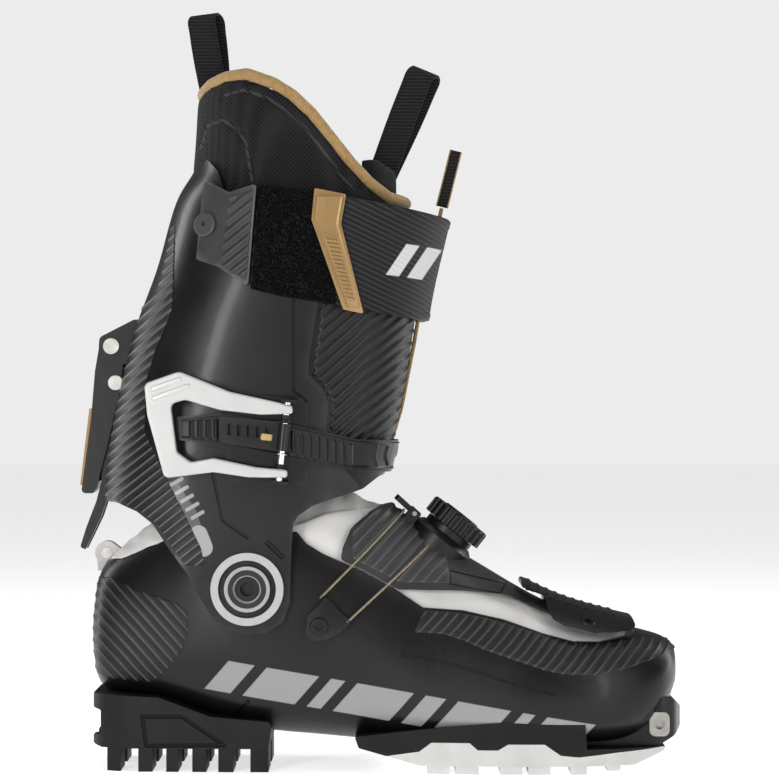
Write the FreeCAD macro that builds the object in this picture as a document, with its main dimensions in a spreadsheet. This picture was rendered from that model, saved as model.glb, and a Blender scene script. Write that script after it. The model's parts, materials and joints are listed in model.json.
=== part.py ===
"""Alpine touring boot, right foot, mondo 27.5.

Frame: +X points to the toe, +Y to the medial side, +Z up. The origin is on the floor under the middle of the
boot's bounding box. Lengths are in millimetres.
"""
import FreeCAD, Part
import math
import os
from FreeCAD import Placement, Rotation, Vector

doc = FreeCAD.newDocument("TouringBoot")
sheet = doc.addObject("Spreadsheet::Sheet", "Sizes")

# Driving dimensions: alias, value.
SIZES = [
    ("pivot_x", -67), ("pivot_z", 92), ("pivot_bolt_radius", 9.45), ("pivot_bush_radius", 11.5),
    ("pivot_ring_radius", 18), ("pivot_ring_hole", 14.3), ("bearing_clearance", 0.05),
    ("clog_wall", 3.2), ("cuff_wall", 3.0), ("front_wall", 2.4), ("gaiter_wall", 1.4), ("liner_wall", 6.5),
    ("seat_gap", 0.1), ("layer_gap", 0.3),
    ("insert_x", 138.5), ("insert_z", 23), ("insert_bore_radius", 2.5), ("insert_bore_depth", 3.5),
    ("insert_height", 12), ("insert_thickness", 4.2), ("toe_lug_half_width", 31), ("toe_lug_offset", 3),
    ("strap_thickness", 2.6), ("webbing_width", 14), ("webbing_thickness", 1.8),
    ("ladder_thickness", 2.8), ("buckle_x", -49), ("buckle_y", -56.6), ("buckle_z", 165),
    ("buckle_lever_thickness", 4.6), ("buckle_axle_radius", 1.7), ("buckle_axle_length", 42),
    ("lever_pin_x", -137.5), ("lever_pin_z", 212.5), ("lever_pin_radius", 4), ("lever_pin_length", 27.4),
    ("link_pin_x", -135.5), ("link_pin_z", 194), ("link_pin_radius", 3.7), ("link_pin_length", 22.6),
    ("lever_half_width", 9.7), ("lever_channel_half_width", 7.9),
    ("dial_tilt", 38.3), ("dial_x", 31.5), ("dial_z", 115.5), ("dial_knob_radius", 16.5),
    ("dial_knob_height", 8.5), ("dial_grip_count", 24), ("dial_base_radius", 16.8), ("dial_axle_radius", 3),
    ("heel_pin_x", -140.5), ("heel_pin_z", 107.5), ("heel_pin_radius", 2.8), ("heel_ear_radius", 6),
    ("heel_ear_half_width", 4), ("lace_radius", 0.7), ("cord_radius", 1.0), ("strap_rivet_radius", 6),
]
for row, (alias, value) in enumerate(SIZES, start=1):
    sheet.set(f"A{row}", alias)
    sheet.set(f"B{row}", str(value))
    sheet.setAlias(f"B{row}", alias)
doc.recompute()
S = {alias: float(sheet.get(alias)) for alias, _ in SIZES}

FAR = 400.0                       # reach of a cutting prism past the boot
PIVOT = (S["pivot_x"], S["pivot_z"])
nodes = []


# ---------------------------------------------------------------- outlines and helpers
def rounded(points, radius=0.0):
    """Edges of a closed polygon whose corners are arcs. A point may carry its own radius: (u, v, radius)."""
    edges, ends = [], []
    count = len(points)
    for i in range(count):
        here, before, after = points[i], points[i - 1], points[(i + 1) % count]
        r = here[2] if len(here) > 2 else radius
        corner = Vector(here[0], here[1], 0)
        a = Vector(before[0], before[1], 0) - corner
        b = Vector(after[0], after[1], 0) - corner
        la, lb = a.Length, b.Length
        a.normalize()
        b.normalize()
        half = a.getAngle(b) / 2
        cut = min(r / math.tan(half), 0.45 * la, 0.45 * lb) if r > 0 and half < 1.55 else 0
        if cut < 0.02:
            ends.append((corner, None, corner))
            continue
        r = cut * math.tan(half)
        bisector = (a + b).normalize()
        middle = corner + bisector * (r / math.sin(half) - r)
        ends.append((corner + a * cut, middle, corner + b * cut))
    for i in range(count):
        start, middle, stop = ends[i]
        if middle is not None:
            edges.append(Part.Arc(start, middle, stop))
        edges.append(Part.LineSegment(stop, ends[(i + 1) % count][0]))
    return [e for e in edges if not isinstance(e, Part.LineSegment) or e.length() > 1e-6]


def side_face(points, radius=0.0, y=0.0):
    """Face in the plane Y = y whose outline is given as (x, z) points."""
    shapes = [e.toShape() for e in rounded(points, radius)]
    face = Part.Face(Part.Wire(Part.__sortEdges__(shapes)))
    face.rotate(Vector(0, 0, 0), Vector(1, 0, 0), 90)
    face.translate(Vector(0, y, 0))
    return face


def prism(points, y_from=-FAR, y_to=FAR, radius=0.0):
    """Solid between two Y planes with an (x, z) outline."""
    return side_face(points, radius, y_from).extrude(Vector(0, y_to - y_from, 0))


def rod(radius, start, stop):
    start, stop = Vector(*start), Vector(*stop)
    return Part.makeCylinder(radius, (stop - start).Length, start, stop - start)


def box(x_range, y_range, z_range):
    return Part.makeBox(x_range[1] - x_range[0], y_range[1] - y_range[0], z_range[1] - z_range[0],
                        Vector(x_range[0], y_range[0], z_range[0]))


def keep(obj, label):
    """Register a finished sub-part under its node name."""
    obj.Label = label
    nodes.append(obj)
    return obj


def feature(label, shape, expected=1):
    """Sub-part whose free-form shape is made directly. Crumbs left by a cut are dropped."""
    solids = sorted(shape.Solids, key=lambda s: -s.Volume)[:expected]
    obj = doc.addObject("Part::Feature", label)
    obj.Shape = solids[0] if expected == 1 else Part.makeCompound(solids)
    obj.Placement = solids[0].Placement if expected == 1 else Placement()
    return keep(obj, label)


def plane_of(body, role):
    return next(f for f in body.Origin.OriginFeatures if f.Role == role)


def sketch_on(body, name, role, edges, lift=0.0):
    sketch = body.newObject("Sketcher::SketchObject", name)
    sketch.AttachmentSupport = [(plane_of(body, role), "")]
    sketch.MapMode = "FlatFace"
    sketch.AttachmentOffset = Placement(Vector(0, 0, lift), Rotation())
    sketch.addGeometry(edges, False)
    return sketch


def circle(radius, u=0.0, v=0.0):
    return Part.Circle(Vector(u, v, 0), Vector(0, 0, 1), radius)


def padded_body(label, role, edges, length, midplane=True, placement=None, reverse=False):
    """Body with one padded sketch. The pad's length is an expression in the sheet's cells."""
    body = doc.addObject("PartDesign::Body", label)
    sketch = sketch_on(body, label + "_outline", role, edges)
    pad = body.newObject("PartDesign::Pad", label + "_pad")
    pad.Profile = sketch
    pad.Midplane = midplane
    pad.Reversed = reverse
    pad.setExpression("Length", length)
    if placement is not None:
        body.Placement = placement
    doc.recompute()
    return body


def pocket(body, role, edges, length, midplane=True, reverse=False, lift=0.0):
    before = body.Shape.Volume
    name = f"{body.Name}_cut{len(body.Group)}"
    cut = body.newObject("PartDesign::Pocket", name)
    cut.Profile = sketch_on(body, name + "_outline", role, edges, lift)
    cut.Midplane = midplane
    cut.Reversed = reverse
    cut.setExpression("Length", length)
    doc.recompute()
    if body.Shape.Volume > before - 0.5:
        raise RuntimeError(f"{name} removed nothing")
    return cut


def soften(body, radius, wanted, kind="PartDesign::Fillet"):
    """Round the edges of the body's tip for which wanted(edge) holds."""
    tip = body.Tip
    names = [f"Edge{i}" for i, e in enumerate(tip.Shape.Edges, start=1) if wanted(e)]
    dress = body.newObject(kind, f"{body.Name}_round{len(body.Group)}")
    dress.Base = (tip, names)
    if kind.endswith("Fillet"):
        dress.Radius = radius
    else:
        dress.Size = radius
    doc.recompute()
    if dress.Shape.isNull() or not dress.Shape.isValid() or "Invalid" in dress.State:
        raise RuntimeError(f"{dress.Name} failed")


def cylinder(label, radius, height, base, direction=(0, -1, 0)):
    """Part::Cylinder bound to the sheet, its axis starting at base along direction."""
    obj = doc.addObject("Part::Cylinder", label)
    obj.setExpression("Radius", radius)
    obj.setExpression("Height", height)
    obj.Placement = Placement(Vector(*base), Rotation(Vector(0, 0, 1), Vector(*direction)))
    return obj


# ---------------------------------------------------------------- lofted families
def oval(cu, cv, half_u, up, down, n_up, n_down, start=0.0, count=24):
    """Points of a superellipse whose upper and lower halves have their own height and squareness.

    The curve's seam is at the angle start, in turns.
    """
    points = []
    for i in range(count):
        t = 2 * math.pi * ((i + 0.5) / count + start)
        c, s = math.cos(t), math.sin(t)
        n, reach = (n_up, up) if s > 0 else (n_down, down)
        u = cu + half_u * math.copysign(abs(c) ** (2 / n), c)
        v = cv + reach * math.copysign(abs(s) ** (2 / n), s)
        points.append((u, v))
    return points


def closed_curve(points):
    """Smooth closed wire. Even parameters give every section of a loft the same knots."""
    curve = Part.BSplineCurve()
    curve.interpolate(Points=points, Parameters=[float(i) for i in range(len(points) + 1)], PeriodicFlag=True)
    return Part.Wire(curve.toShape())


# Clog stations along X: x, centre y, half width, lowest z, widest z, highest z, squareness up and down.
FOOT = [
    (-146.5, 0, 11, 54, 68, 80, 2.2, 2.2),
    (-144.8, 0, 18, 45, 65, 93, 2.3, 2.3),
    (-140, 0, 25, 39, 62, 104, 2.4, 2.6),
    (-130, 0, 29.5, 37, 62, 113, 2.5, 3.0),
    (-115, 0, 33.5, 35, 66, 125, 2.6, 3.0),
    (-95, 0, 38.5, 29, 76, 135, 2.9, 3.0),
    (-67, 0, 42, 20, 82, 142, 3.2, 3.0),
    (-35, 0.3, 42.2, 16, 72, 146, 2.8, 2.8),
    (-5, 1, 42.8, 13.5, 56, 138.5, 2.1, 2.8),
    (10, 1.3, 44, 13, 48, 127.5, 1.95, 2.8),
    (25, 1.6, 45.5, 13, 42, 116, 1.95, 2.9),
    (45, 2, 48, 13, 38, 104, 2.0, 3.0),
    (65, 2.2, 50, 12.5, 36, 92, 2.1, 3.0),
    (85, 2.6, 50.5, 12, 35, 81.5, 2.3, 3.0),
    (105, 3, 48.5, 12, 35, 74.5, 2.5, 3.0),
    (125, 3.4, 42.5, 14, 37, 69.5, 2.6, 2.8),
    (138, 3.8, 34, 22, 43, 66.3, 2.5, 2.6),
    (144.5, 4, 26, 32, 48, 63.5, 2.4, 2.5),
    (148, 4, 17, 40, 50, 59.5, 2.2, 2.2),
]
# Cuff stations along Z: z, rearmost x, foremost x, half width, squareness to the rear and to the front.
CUFF = [
    (58, -137, -14, 47.2, 3.0, 3.0),
    (95, -139, -7, 48.0, 3.0, 3.0),
    (130, -140.3, 0, 48.6, 2.9, 2.8),
    (150, -140, 4.5, 49.2, 2.8, 2.7),
    (175, -136.5, 10.3, 49.8, 2.6, 2.6),
    (200, -131.6, 15.2, 50.4, 2.5, 2.5),
    (230, -123, 19.8, 51.2, 2.4, 2.4),
    (250, -115.6, 24, 51.8, 2.3, 2.3),
    (275, -108.6, 29.6, 52.0, 2.3, 2.3),
    (292, -102, 32, 51.5, 2.3, 2.3),
    (316, -96.5, 34, 50.5, 2.3, 2.3),
]
# Liner shaft stations, same columns.
LINER = [
    (118, -128, -12, 38.5, 2.8, 2.4),
    (150, -132, -4, 42.5, 2.7, 2.4),
    (185, -128, 2.5, 44.0, 2.5, 2.4),
    (225, -117, 8, 45.5, 2.4, 2.3),
    (265, -104.5, 12, 46.3, 2.3, 2.3),
    (295, -97, 13.5, 46.0, 2.3, 2.3),
    (320, -94.5, 12, 45.0, 2.3, 2.3),
    (352, -90, 8, 42.5, 2.3, 2.3),
]
made_lofts = {}


def foot(offset=0.0):
    """Clog volume grown (or shrunk) by offset."""
    key = ("foot", round(offset, 3))
    if key not in made_lofts:
        wires = []
        for i, (x, yc, half, low, wide, high, n_up, n_down) in enumerate(FOOT):
            shift = -offset if i == 0 else offset if i == len(FOOT) - 1 else 0
            ends = i in (0, len(FOOT) - 1)
            grow = offset * (0.6 if ends else 1)
            points = oval(yc, wide, half + grow, high - wide + grow, wide - low + grow, n_up, n_down, -0.25)
            wires.append(closed_curve([Vector(x + shift, u, v) for u, v in points]))
        made_lofts[key] = Part.makeLoft(wires, True)
    return made_lofts[key]


def shaft(stations, offset=0.0, front=None):
    """Shaft volume grown by offset at the sides and rear, and by front at the front."""
    front = offset if front is None else front
    key = (id(stations), round(offset, 3), round(front, 3))
    if key not in made_lofts:
        wires = []
        for z, rear, fore, half, n_rear, n_fore in stations:
            middle = 0.5 * (rear + fore) - 4
            points = oval(0, middle, half + offset, fore + front - middle, middle - rear + offset, n_fore, n_rear)
            wires.append(closed_curve([Vector(v, u, z) for u, v in points]))
        made_lofts[key] = Part.makeLoft(wires, True)
    return made_lofts[key]


def foot_patch(points, inner, outer, y_from=-FAR, y_to=FAR, radius=0.0):
    """Piece of a layer between two foot offsets, cut to an (x, z) outline."""
    return foot(outer).common(prism(points, y_from, y_to, radius)).cut(foot(inner))


def cuff_patch(points, inner, outer, y_from=-FAR, y_to=FAR, radius=0.0, front=(None, None)):
    layer = shaft(CUFF, outer, front[1]).common(prism(points, y_from, y_to, radius))
    return layer.cut(shaft(CUFF, inner, front[0]))


def above(line, lift=0.0, top=200):
    """Everything between an (x, z) line and the plane Z = top."""
    points = [(x, z + lift) for x, z in line]
    return prism(points + [(points[-1][0], top), (points[0][0], top)])


def footprint(offset, share=1.0):
    """Plan outline of the clog as a face at Z = 0."""
    left = [Vector(x, yc - share * half - offset, 0) for x, yc, half, *_ in FOOT]
    right = [Vector(x, yc + share * half + offset, 0) for x, yc, half, *_ in reversed(FOOT)]
    curve = Part.BSplineCurve()
    curve.interpolate(Points=left + right, PeriodicFlag=True)
    return Part.Face(Part.Wire(curve.toShape()))


gap, layer_gap = S["seat_gap"], S["layer_gap"]

# ---------------------------------------------------------------- side outlines (x, z)
THROAT = [(-43, 120), (-38, 114), (-30, 109), (-20, 104.5), (-10, 100), (8, 90), (20, 82), (40, 80.5), (60, 76),
          (80, 69), (95, 65), (108, 64.5), (127, 67)]
HEEL_EDGE = [(-150, 103), (-131, 105), (-120, 110), (-109, 114.5), (-97, 118)]
CLOG_OPENING = HEEL_EDGE + [(-88, 117), (-62, 117), (-50, 119)] + THROAT + [(127, 200), (-150, 200)]
CUFF_LOWER = [(-10, 141), (-18, 138.5), (-25, 136.5), (-35, 133), (-42, 128), (-44.5, 124), (-45.5, 105), (-46, 85),
              (-49, 76), (-57, 70.5), (-67, 69.5), (-76, 72), (-85, 79), (-90, 87), (-97, 100), (-106, 112),
              (-114, 124), (-122, 130), (-132, 134), (-152, 136)]
CUFF_OUTLINE = CUFF_LOWER + [(-152, 315), (-96.5, 313), (-88, 306), (-82, 299), (-79, 290), (-62, 280),
                             (-30, 268), (-32, 233), (-34, 220), (-36.5, 204), (-36.5, 198), (-30, 191),
                             (-27, 184), (-28, 171), (-20, 152)]
FRONT_OUTLINE = [(-58, 142), (-30, 138.5), (-18, 138.5), (-10, 141), (-2, 147), (14, 152), (60, 152), (60, 270),
                 (-10, 266), (-50, 262)]
FLAP_OUTLINE = [(-1, 131), (-10, 126), (-16, 121), (-20, 112), (-21, 106), (-10, 101), (8, 91), (40, 90), (60, 88),
                (72, 84.5), (90, 76), (96, 92), (60, 118), (22, 142), (4, 133)]
GAITER_OUTLINE = [(-50, 108), (-30, 100), (-10, 92), (8, 82), (20, 74), (60, 68), (92, 58), (126, 60), (134, 68),
                  (100, 92), (60, 118), (22, 140), (2, 131), (-12, 131), (-30, 128), (-47, 122)]
STRAP_OUTLINE = [(-61.5, 292), (-33, 288.5), (0, 283), (60, 272), (60, 219), (10, 226), (-20, 231.5),
                 (-50, 236), (-65.6, 240)]
LADDER_OUTLINE = [(-103, 177), (-80, 179), (-47, 174), (-13, 166), (30, 164), (30, 148), (-13, 150),
                  (-47, 155.5), (-80, 163), (-103, 166)]
LINER_TOP = [(-96, 338), (-88, 343.5), (-80, 346), (-69, 347), (-55, 342), (-45, 336), (-35, 327), (-25, 315),
             (-15, 303), (-5, 293), (5, 286), (30, 282)]


# ---------------------------------------------------------------- lower boot (clog)
def toe_lug():
    y = S["toe_lug_offset"]
    block = prism([(100, 12.5), (138, 12.5), (146, 17), (150.3, 21), (150.3, 31), (146, 35), (128, 37), (100, 34)],
                  y - 31, y + 31, 2.0)
    plan = Part.Face(Part.Wire([e.toShape() for e in rounded(
        [(90, y - 31), (146, y - 31, 9), (150.5, y - 14, 20), (150.5, y + 14, 20), (146, y + 31, 9),
         (90, y + 31)])]))
    return block.common(plan.extrude(Vector(0, 0, 60)))


def toe_insert_blocks(grow=0.0):
    y = S["toe_lug_offset"]
    half = S["toe_lug_half_width"]
    x, z, high, deep = S["insert_x"], S["insert_z"], S["insert_height"] / 2 + grow, S["insert_thickness"] + grow
    left, right, face = x - 5 - grow, x + 5 + grow, half + 0.4
    outline = [(left, z - high), (right, z - high), (right, z + high), (left, z + high)]
    return [prism(outline, y - face, y - face + deep, 3), prism(outline, y + face - deep, y + face, 3)]


def pivot_holes(radius):
    x, z = PIVOT
    return rod(radius, (x, -60, z), (x, 60, z))


def lower_shell():
    """Walls of the clog: the outside with its pivot bosses and toe lug, less the inside and the openings."""
    x, z = PIVOT
    solid = foot(0).fuse(toe_lug())
    for side in (-1, 1):
        solid = solid.fuse(rod(21, (x, side * 30, z), (x, side * 42.4, z)))
    shell = solid.cut(prism(CLOG_OPENING, radius=2)).cut(foot(-S["clog_wall"]))
    shell = shell.cut(pivot_holes(S["pivot_bolt_radius"] + 0.02))
    for block in toe_insert_blocks(0.02):
        shell = shell.cut(block)
    return shell.cut(heel_lug_shape(0.02))


def heel_lug_shape(grow=0.0):
    x, z, r = S["heel_pin_x"], S["heel_pin_z"], S["heel_ear_radius"] + grow
    half = S["heel_ear_half_width"] + grow
    ear = rod(r, (x, -half, z), (x, half, z))
    root = prism([(x - 5 - grow, z - 2), (x - 4.5 - grow, z - 9 - grow), (x + 9 + grow, z - 9 - grow),
                  (x + 12 + grow, z - 1), (x + 3, z + 5)], -half, half)
    return ear.fuse(root)


def heel_sole():
    block = prism([(-146, 38.5), (-112, 37), (-86, 27.5), (-57, 25), (-55.5, 22), (-57, 11.5), (-141, 11.5),
                   (-146, 13), (-146, 17), (-141.5, 18), (-141.5, 30), (-146, 31)], radius=1.0)
    lugs = [(-138, -131), (-122, -115), (-108, -102), (-95, -88), (-82, -74.5), (-66, -57)]
    for start, stop in lugs:
        for y_range in ((-36, -7), (7, 36)):
            lug = Part.makeBox(stop - start, y_range[1] - y_range[0], 12.5, Vector(start, y_range[0], 0))
            block = block.fuse(lug)
    plan = Part.Face(Part.Wire([e.toShape() for e in rounded(
        [(-146, -24, 14), (-128, -33.5, 20), (-50, -37), (-50, 37), (-128, 33.5, 20), (-146, 24, 14)])]))
    block = block.common(plan.extrude(Vector(0, 0, 60))).cut(foot(gap))
    slot = box((-150, -134), (-11, 11), (15, 29.5))
    return block.cut(slot)


# Upper edge of the light outsole along the side, with its two pods. The dark rand fills up to the clog.
SOLE_EDGE = [(-20, 2), (-14, 5), (-10, 7), (18, 11), (24, 15.5), (43, 15.5), (47, 12), (57, 12), (62, 15),
             (80, 15), (88, 9.5), (97, 8.5), (117, 10.5), (150, 12.5)]


def forefoot_block():
    block = prism([(-14, 18), (-12, 12.5), (4, 8), (18, 4), (125, 4), (141, 10), (142, 12.3), (101, 12.3),
                   (100, 30), (20, 22)], radius=0.8)
    return block.common(footprint(0.3, 0.97).extrude(Vector(0, 0, 60))).cut(foot(gap)).cut(toe_lug())


def forefoot_sole(block):
    """Light outsole with three rows of tread lugs."""
    sole = block.cut(above(SOLE_EDGE))
    lugs = [(22, 33), (36, 47.5), (58, 69), (72, 83), (93, 101), (111, 118)]
    for start, stop in lugs:
        for y_range in ((-46, -19), (-14, 17), (22, 50)):
            low = 0 if start < 105 else 1.5
            lug = Part.makeBox(stop - start, y_range[1] - y_range[0], 5 - low, Vector(start, y_range[0], low))
            sole = sole.fuse(lug.common(footprint(0.3, 0.97).extrude(Vector(0, 0, 60))))
    return sole


feature("lower_shell", lower_shell())
forefoot = forefoot_block()
feature("sole_rand", forefoot.common(above(SOLE_EDGE)))
feature("forefoot_sole", forefoot_sole(forefoot))
feature("heel_sole", heel_sole())

insert_bore = []
for block, side in zip(toe_insert_blocks(), (-1, 1)):
    face_y = S["toe_lug_offset"] + side * (S["toe_lug_half_width"] + 0.4)
    bore = rod(S["insert_bore_radius"], (S["insert_x"], face_y + side, S["insert_z"]),
               (S["insert_x"], face_y - side * S["insert_bore_depth"], S["insert_z"]))
    insert_bore.append(block.cut(bore))
feature("toe_inserts", Part.makeCompound(insert_bore), expected=2)

heel_insert = padded_body("heel_insert", "XY_Plane",
                          rounded([(-137.8, -10.8), (-134.2, -10.8), (-134.2, 10.8), (-137.8, 10.8)], 1.2),
                          "14.2", midplane=False, placement=Placement(Vector(0, 0, 15.1), Rotation()))
pocket(heel_insert, "XZ_Plane", rounded([(-139, 4.5), (-136.2, 4.5), (-136.2, 9.5), (-139, 9.5)]), "12")
keep(heel_insert, "heel_insert")
feature("heel_insert_screws", Part.makeCompound(
    [rod(2.6, (-137.9, y, 24), (-139.4, y, 24)).cut(box((-140, -138.6), (y - 0.4, y + 0.4), (20, 28)))
     for y in (-8.2, 8.2)]), expected=2)

BOARD_TOP = [(-140, 47), (-60, 40), (0, 27), (40, 21.5), (140, 20.5)]


def inside_layer(line, low, high, offset):
    points = [(x, z + low) for x, z in line] + [(x, z + high) for x, z in reversed(line)]
    return foot(offset).common(prism(points))


inner = -S["clog_wall"]
feature("boot_board", inside_layer(BOARD_TOP, -5, 0, inner - 0.4))
ANKLE_ZONE = rod(58, (PIVOT[0], -60, PIVOT[1]), (PIVOT[0], 60, PIVOT[1]))
low_zone = prism([(-160, 10), (160, 10), (160, 92), (66, 92), (-4, 122), (-14, 92), (-160, 92)])
liner_outer = foot(inner - 2.0).common(above(BOARD_TOP, 0.2))
liner_inner = foot(inner - 2.0 - S["liner_wall"]).common(above(BOARD_TOP, 5.2))
nut_room = pivot_holes(11)
liner_foot = liner_outer.cut(liner_inner).common(ANKLE_ZONE.fuse(low_zone))
liner_foot = liner_foot.cut(prism([(-112, 118), (-20, 118), (-20, 200), (-112, 200)])).cut(nut_room)
feature("liner_foot", liner_foot)
feature("footbed", inside_layer(BOARD_TOP, 5.4, 8.8, inner - 2.4 - S["liner_wall"]))

gaiter = foot_patch(GAITER_OUTLINE, inner - 0.2 - S["gaiter_wall"], inner - 0.2, radius=3)
feature("instep_gaiter", gaiter)
tilt = Rotation(Vector(0, 1, 0), S["dial_tilt"])
dial_axis = tilt.multVec(Vector(0, 0, 1))
dial_centre = Vector(S["dial_x"], 0, S["dial_z"])
dial_place = Placement(dial_centre, tilt)
dial_well = Part.makeCylinder(11, 40, dial_centre - dial_axis * 30, dial_axis)
feature("instep_flap", foot_patch(FLAP_OUTLINE, inner + 0.6, 0.3, radius=2).cut(dial_well))
collar = foot_patch([(-150, 103.3), (-131, 105.3), (-120, 110.3), (-109, 114.8), (-97, 118.3), (-92, 118.3),
                     (-98, 128), (-118, 129), (-140, 112), (-150, 108)], -2.2, 0)
feature("heel_collar", collar.cut(heel_lug_shape(0.02)))

lug = heel_lug_shape().cut(rod(S["heel_pin_radius"], (S["heel_pin_x"], -9, S["heel_pin_z"]),
                               (S["heel_pin_x"], 9, S["heel_pin_z"])))
feature("heel_lug", lug.cut(foot(inner - 0.1)))
heel_pin = cylinder("heel_lug_pin", "Sizes.heel_pin_radius - 0.01", "2 * Sizes.heel_ear_half_width + 0.6",
                    (S["heel_pin_x"], S["heel_ear_half_width"] + 0.3, S["heel_pin_z"]))
keep(heel_pin, "heel_lug_pin")

TOE_CLIP = [(83, 80), (85, 76), (90, 73.5), (105, 69.5), (124, 70), (127, 72), (126, 76), (91, 88.5), (70, 95),
            (70, 91), (81, 87.5)]
toe_clip_screw_place = (102, 73.5)


def side_normal(volume, x, z, side, probe=0.0):
    """Point and outward normal where a line along Y through (x, z) leaves a volume."""
    line = Part.LineSegment(Vector(x, 0, z), Vector(x, side * 120, z)).toShape()
    hit = volume.common(line)
    far_end = max((v.Point for v in hit.Vertexes), key=lambda p: side * p.y)
    near = []
    for dx, dz in ((1, 0), (0, 1)):
        other = Part.LineSegment(Vector(x + dx, 0, z + dz), Vector(x + dx, side * 120, z + dz)).toShape()
        part = volume.common(other)
        near.append(max((v.Point for v in part.Vertexes), key=lambda p: side * p.y) - far_end)
    normal = near[0].cross(near[1])
    normal.normalize()
    if normal.y * side < 0:
        normal = normal * -1
    return far_end + normal * probe, normal


def screw(place, normal, radius, head, depth, socket=0.45):
    """Round-headed screw with a blind hex-like socket, seated on a point of a skin."""
    start = place - normal * depth
    body = Part.makeCylinder(radius * 0.45, depth + 0.01, start, normal)
    cap = Part.makeCylinder(radius, head, place, normal)
    cap = cap.makeFillet(min(head * 0.45, 0.8), [e for e in cap.Edges if e.Closed and
                                                 (e.CenterOfMass - place).Length > head * 0.8])
    recess = Part.makeCylinder(radius * socket, head * 0.7, place + normal * head * 0.4, normal)
    return body.fuse(cap).cut(recess)


clip = foot_patch(TOE_CLIP, gap + 0.3, 6.5, radius=1.2)
clip_screws = []
for side in (-1, 1):
    place, normal = side_normal(foot(5.0), *toe_clip_screw_place, side)
    clip_screws.append(screw(place, normal, 3.7, 1.9, 3.2))
    clip = clip.cut(Part.makeCylinder(3.75, 6, place + normal * 0, normal)).cut(
        Part.makeCylinder(3.7 * 0.45 + 0.03, 3.3, place - normal * 3.25, normal))
feature("toe_clip", clip)
feature("toe_clip_screws", Part.makeCompound(clip_screws), expected=2)

GUIDE = [(-38.5, 70), (-37, 79), (-31, 84.5), (-28.5, 88.5), (-22, 81.5), (-15.5, 75.5), (-20, 71), (-28, 66.5),
         (-35, 66)]
guide_screws = []
for side, name in ((-1, "lace_guide_lateral"), (1, "lace_guide_medial")):
    y_from, y_to = sorted((0, side * FAR))
    guide = foot_patch(GUIDE, gap, 4.6, y_from, y_to, radius=2)
    place, normal = side_normal(foot(3.2), -31.5, 73.5, side)
    guide_screws.append(screw(place, normal, 4.4, 2.4, 2.4))
    guide = guide.cut(Part.makeCylinder(4.45, 6, place, normal)).cut(
        Part.makeCylinder(4.4 * 0.45 + 0.03, 2.5, place - normal * 2.45, normal))
    pulley, axis = side_normal(foot(0), -20.5, 77.0, side)
    groove = Part.makeTorus(4.0, 1.1, pulley + axis * 2.6, axis)
    feature(name, guide.cut(groove))
feature("lace_guide_screws", Part.makeCompound(guide_screws), expected=2)

# Dial: a base on the flap, a spool inside it, and the knob on the spool's axle.
def on_dial(shape):
    shape = shape.copy()
    shape.Placement = dial_place.multiply(shape.Placement)
    return shape


base = Part.makeCone(S["dial_base_radius"] + 1.2, S["dial_base_radius"] - 2.5, 3.2, Vector(0, 0, -1.6))
base = base.fuse(Part.makeCylinder(S["dial_base_radius"] + 1.2, 9, Vector(0, 0, -10.6)))
base = base.fuse(Part.makeCylinder(13.4, 3.4, Vector(0, 0, 1.5)))
base = base.cut(Part.makeCylinder(10.4, 8.0, Vector(0, 0, -2.6)))
base = base.cut(Part.makeCylinder(S["dial_axle_radius"] + 0.06, 12, Vector(0, 0, -11)))
dial_seat = on_dial(base).cut(foot(0.4)).cut(foot(0.3))
feature("dial_base", dial_seat)

spool = Part.makeCylinder(10.0, 6.4, Vector(0, 0, -2.2))
spool = spool.cut(Part.makeTorus(10.4, 2.0, Vector(0, 0, 1.0)))
spool = spool.fuse(Part.makeCylinder(S["dial_axle_radius"], 10.0, Vector(0, 0, -2.3)))
feature("dial_spool", on_dial(spool))

knob = padded_body("dial_knob", "XY_Plane", [circle(S["dial_knob_radius"])], "Sizes.dial_knob_height",
                   midplane=False, placement=dial_place.multiply(Placement(Vector(0, 0, 5.4), Rotation())))
soften(knob, 1.4, lambda e: e.CenterOfMass.z > S["dial_knob_height"] - 0.1)
pocket(knob, "XY_Plane", [circle(S["dial_axle_radius"] + 0.01)], "2.4", midplane=False, reverse=True)
notch_name = "dial_knob_notch"
notch = knob.newObject("PartDesign::Pocket", notch_name)
notch.Profile = sketch_on(knob, notch_name + "_outline", "XY_Plane", [circle(1.5, S["dial_knob_radius"] + 0.5, 0)])
notch.Type = "ThroughAll"
notch.Midplane = True
doc.recompute()
pattern = knob.newObject("PartDesign::PolarPattern", "dial_knob_grip")
pattern.Originals = [notch]
pattern.Axis = (plane_of(knob, "Z_Axis"), [""])
pattern.Angle = 360
pattern.setExpression("Occurrences", "Sizes.dial_grip_count")
knob.Tip = pattern
doc.recompute()
pocket(knob, "XY_Plane", [circle(11.5), circle(4.2)], "1.2", midplane=False, lift=S["dial_knob_height"])
keep(knob, "dial_knob")

# Release clip: a thin plate hinged on a pin across the instep, just above the flap.
clip_tilt = Rotation(Vector(0, 1, 0), 42.3)
clip_place = Placement(Vector(12.2, 0, 131.2), clip_tilt)
CLIP_PIN = 5.2                    # pin's distance from the plate's centre, along the plate
release = padded_body("release_clip", "XY_Plane",
                      rounded([(-7.5, -8), (7.2, -8), (7.2, 8), (-7.5, 8)], 2), "2.6", placement=clip_place)
pocket(release, "XZ_Plane", [circle(1.22, CLIP_PIN, 0)], "40")
keep(release, "release_clip")
pin_at = clip_place.multVec(Vector(CLIP_PIN, 0, 0))
release_pin = rod(1.17, (pin_at.x, -10.5, pin_at.z), (pin_at.x, 10.5, pin_at.z))
ears = []
for side in (-1, 1):
    tab = Part.makeBox(6, 1.9, 8, Vector(2.2, 8.3 if side > 0 else -10.2, -6.2))
    tab.Placement = clip_place.multiply(tab.Placement)
    ears.append(tab.cut(foot(0.35)))
carrier = ears[0].fuse(ears[1]).cut(release_pin)
feature("release_clip_ears", carrier, expected=2)
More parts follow.
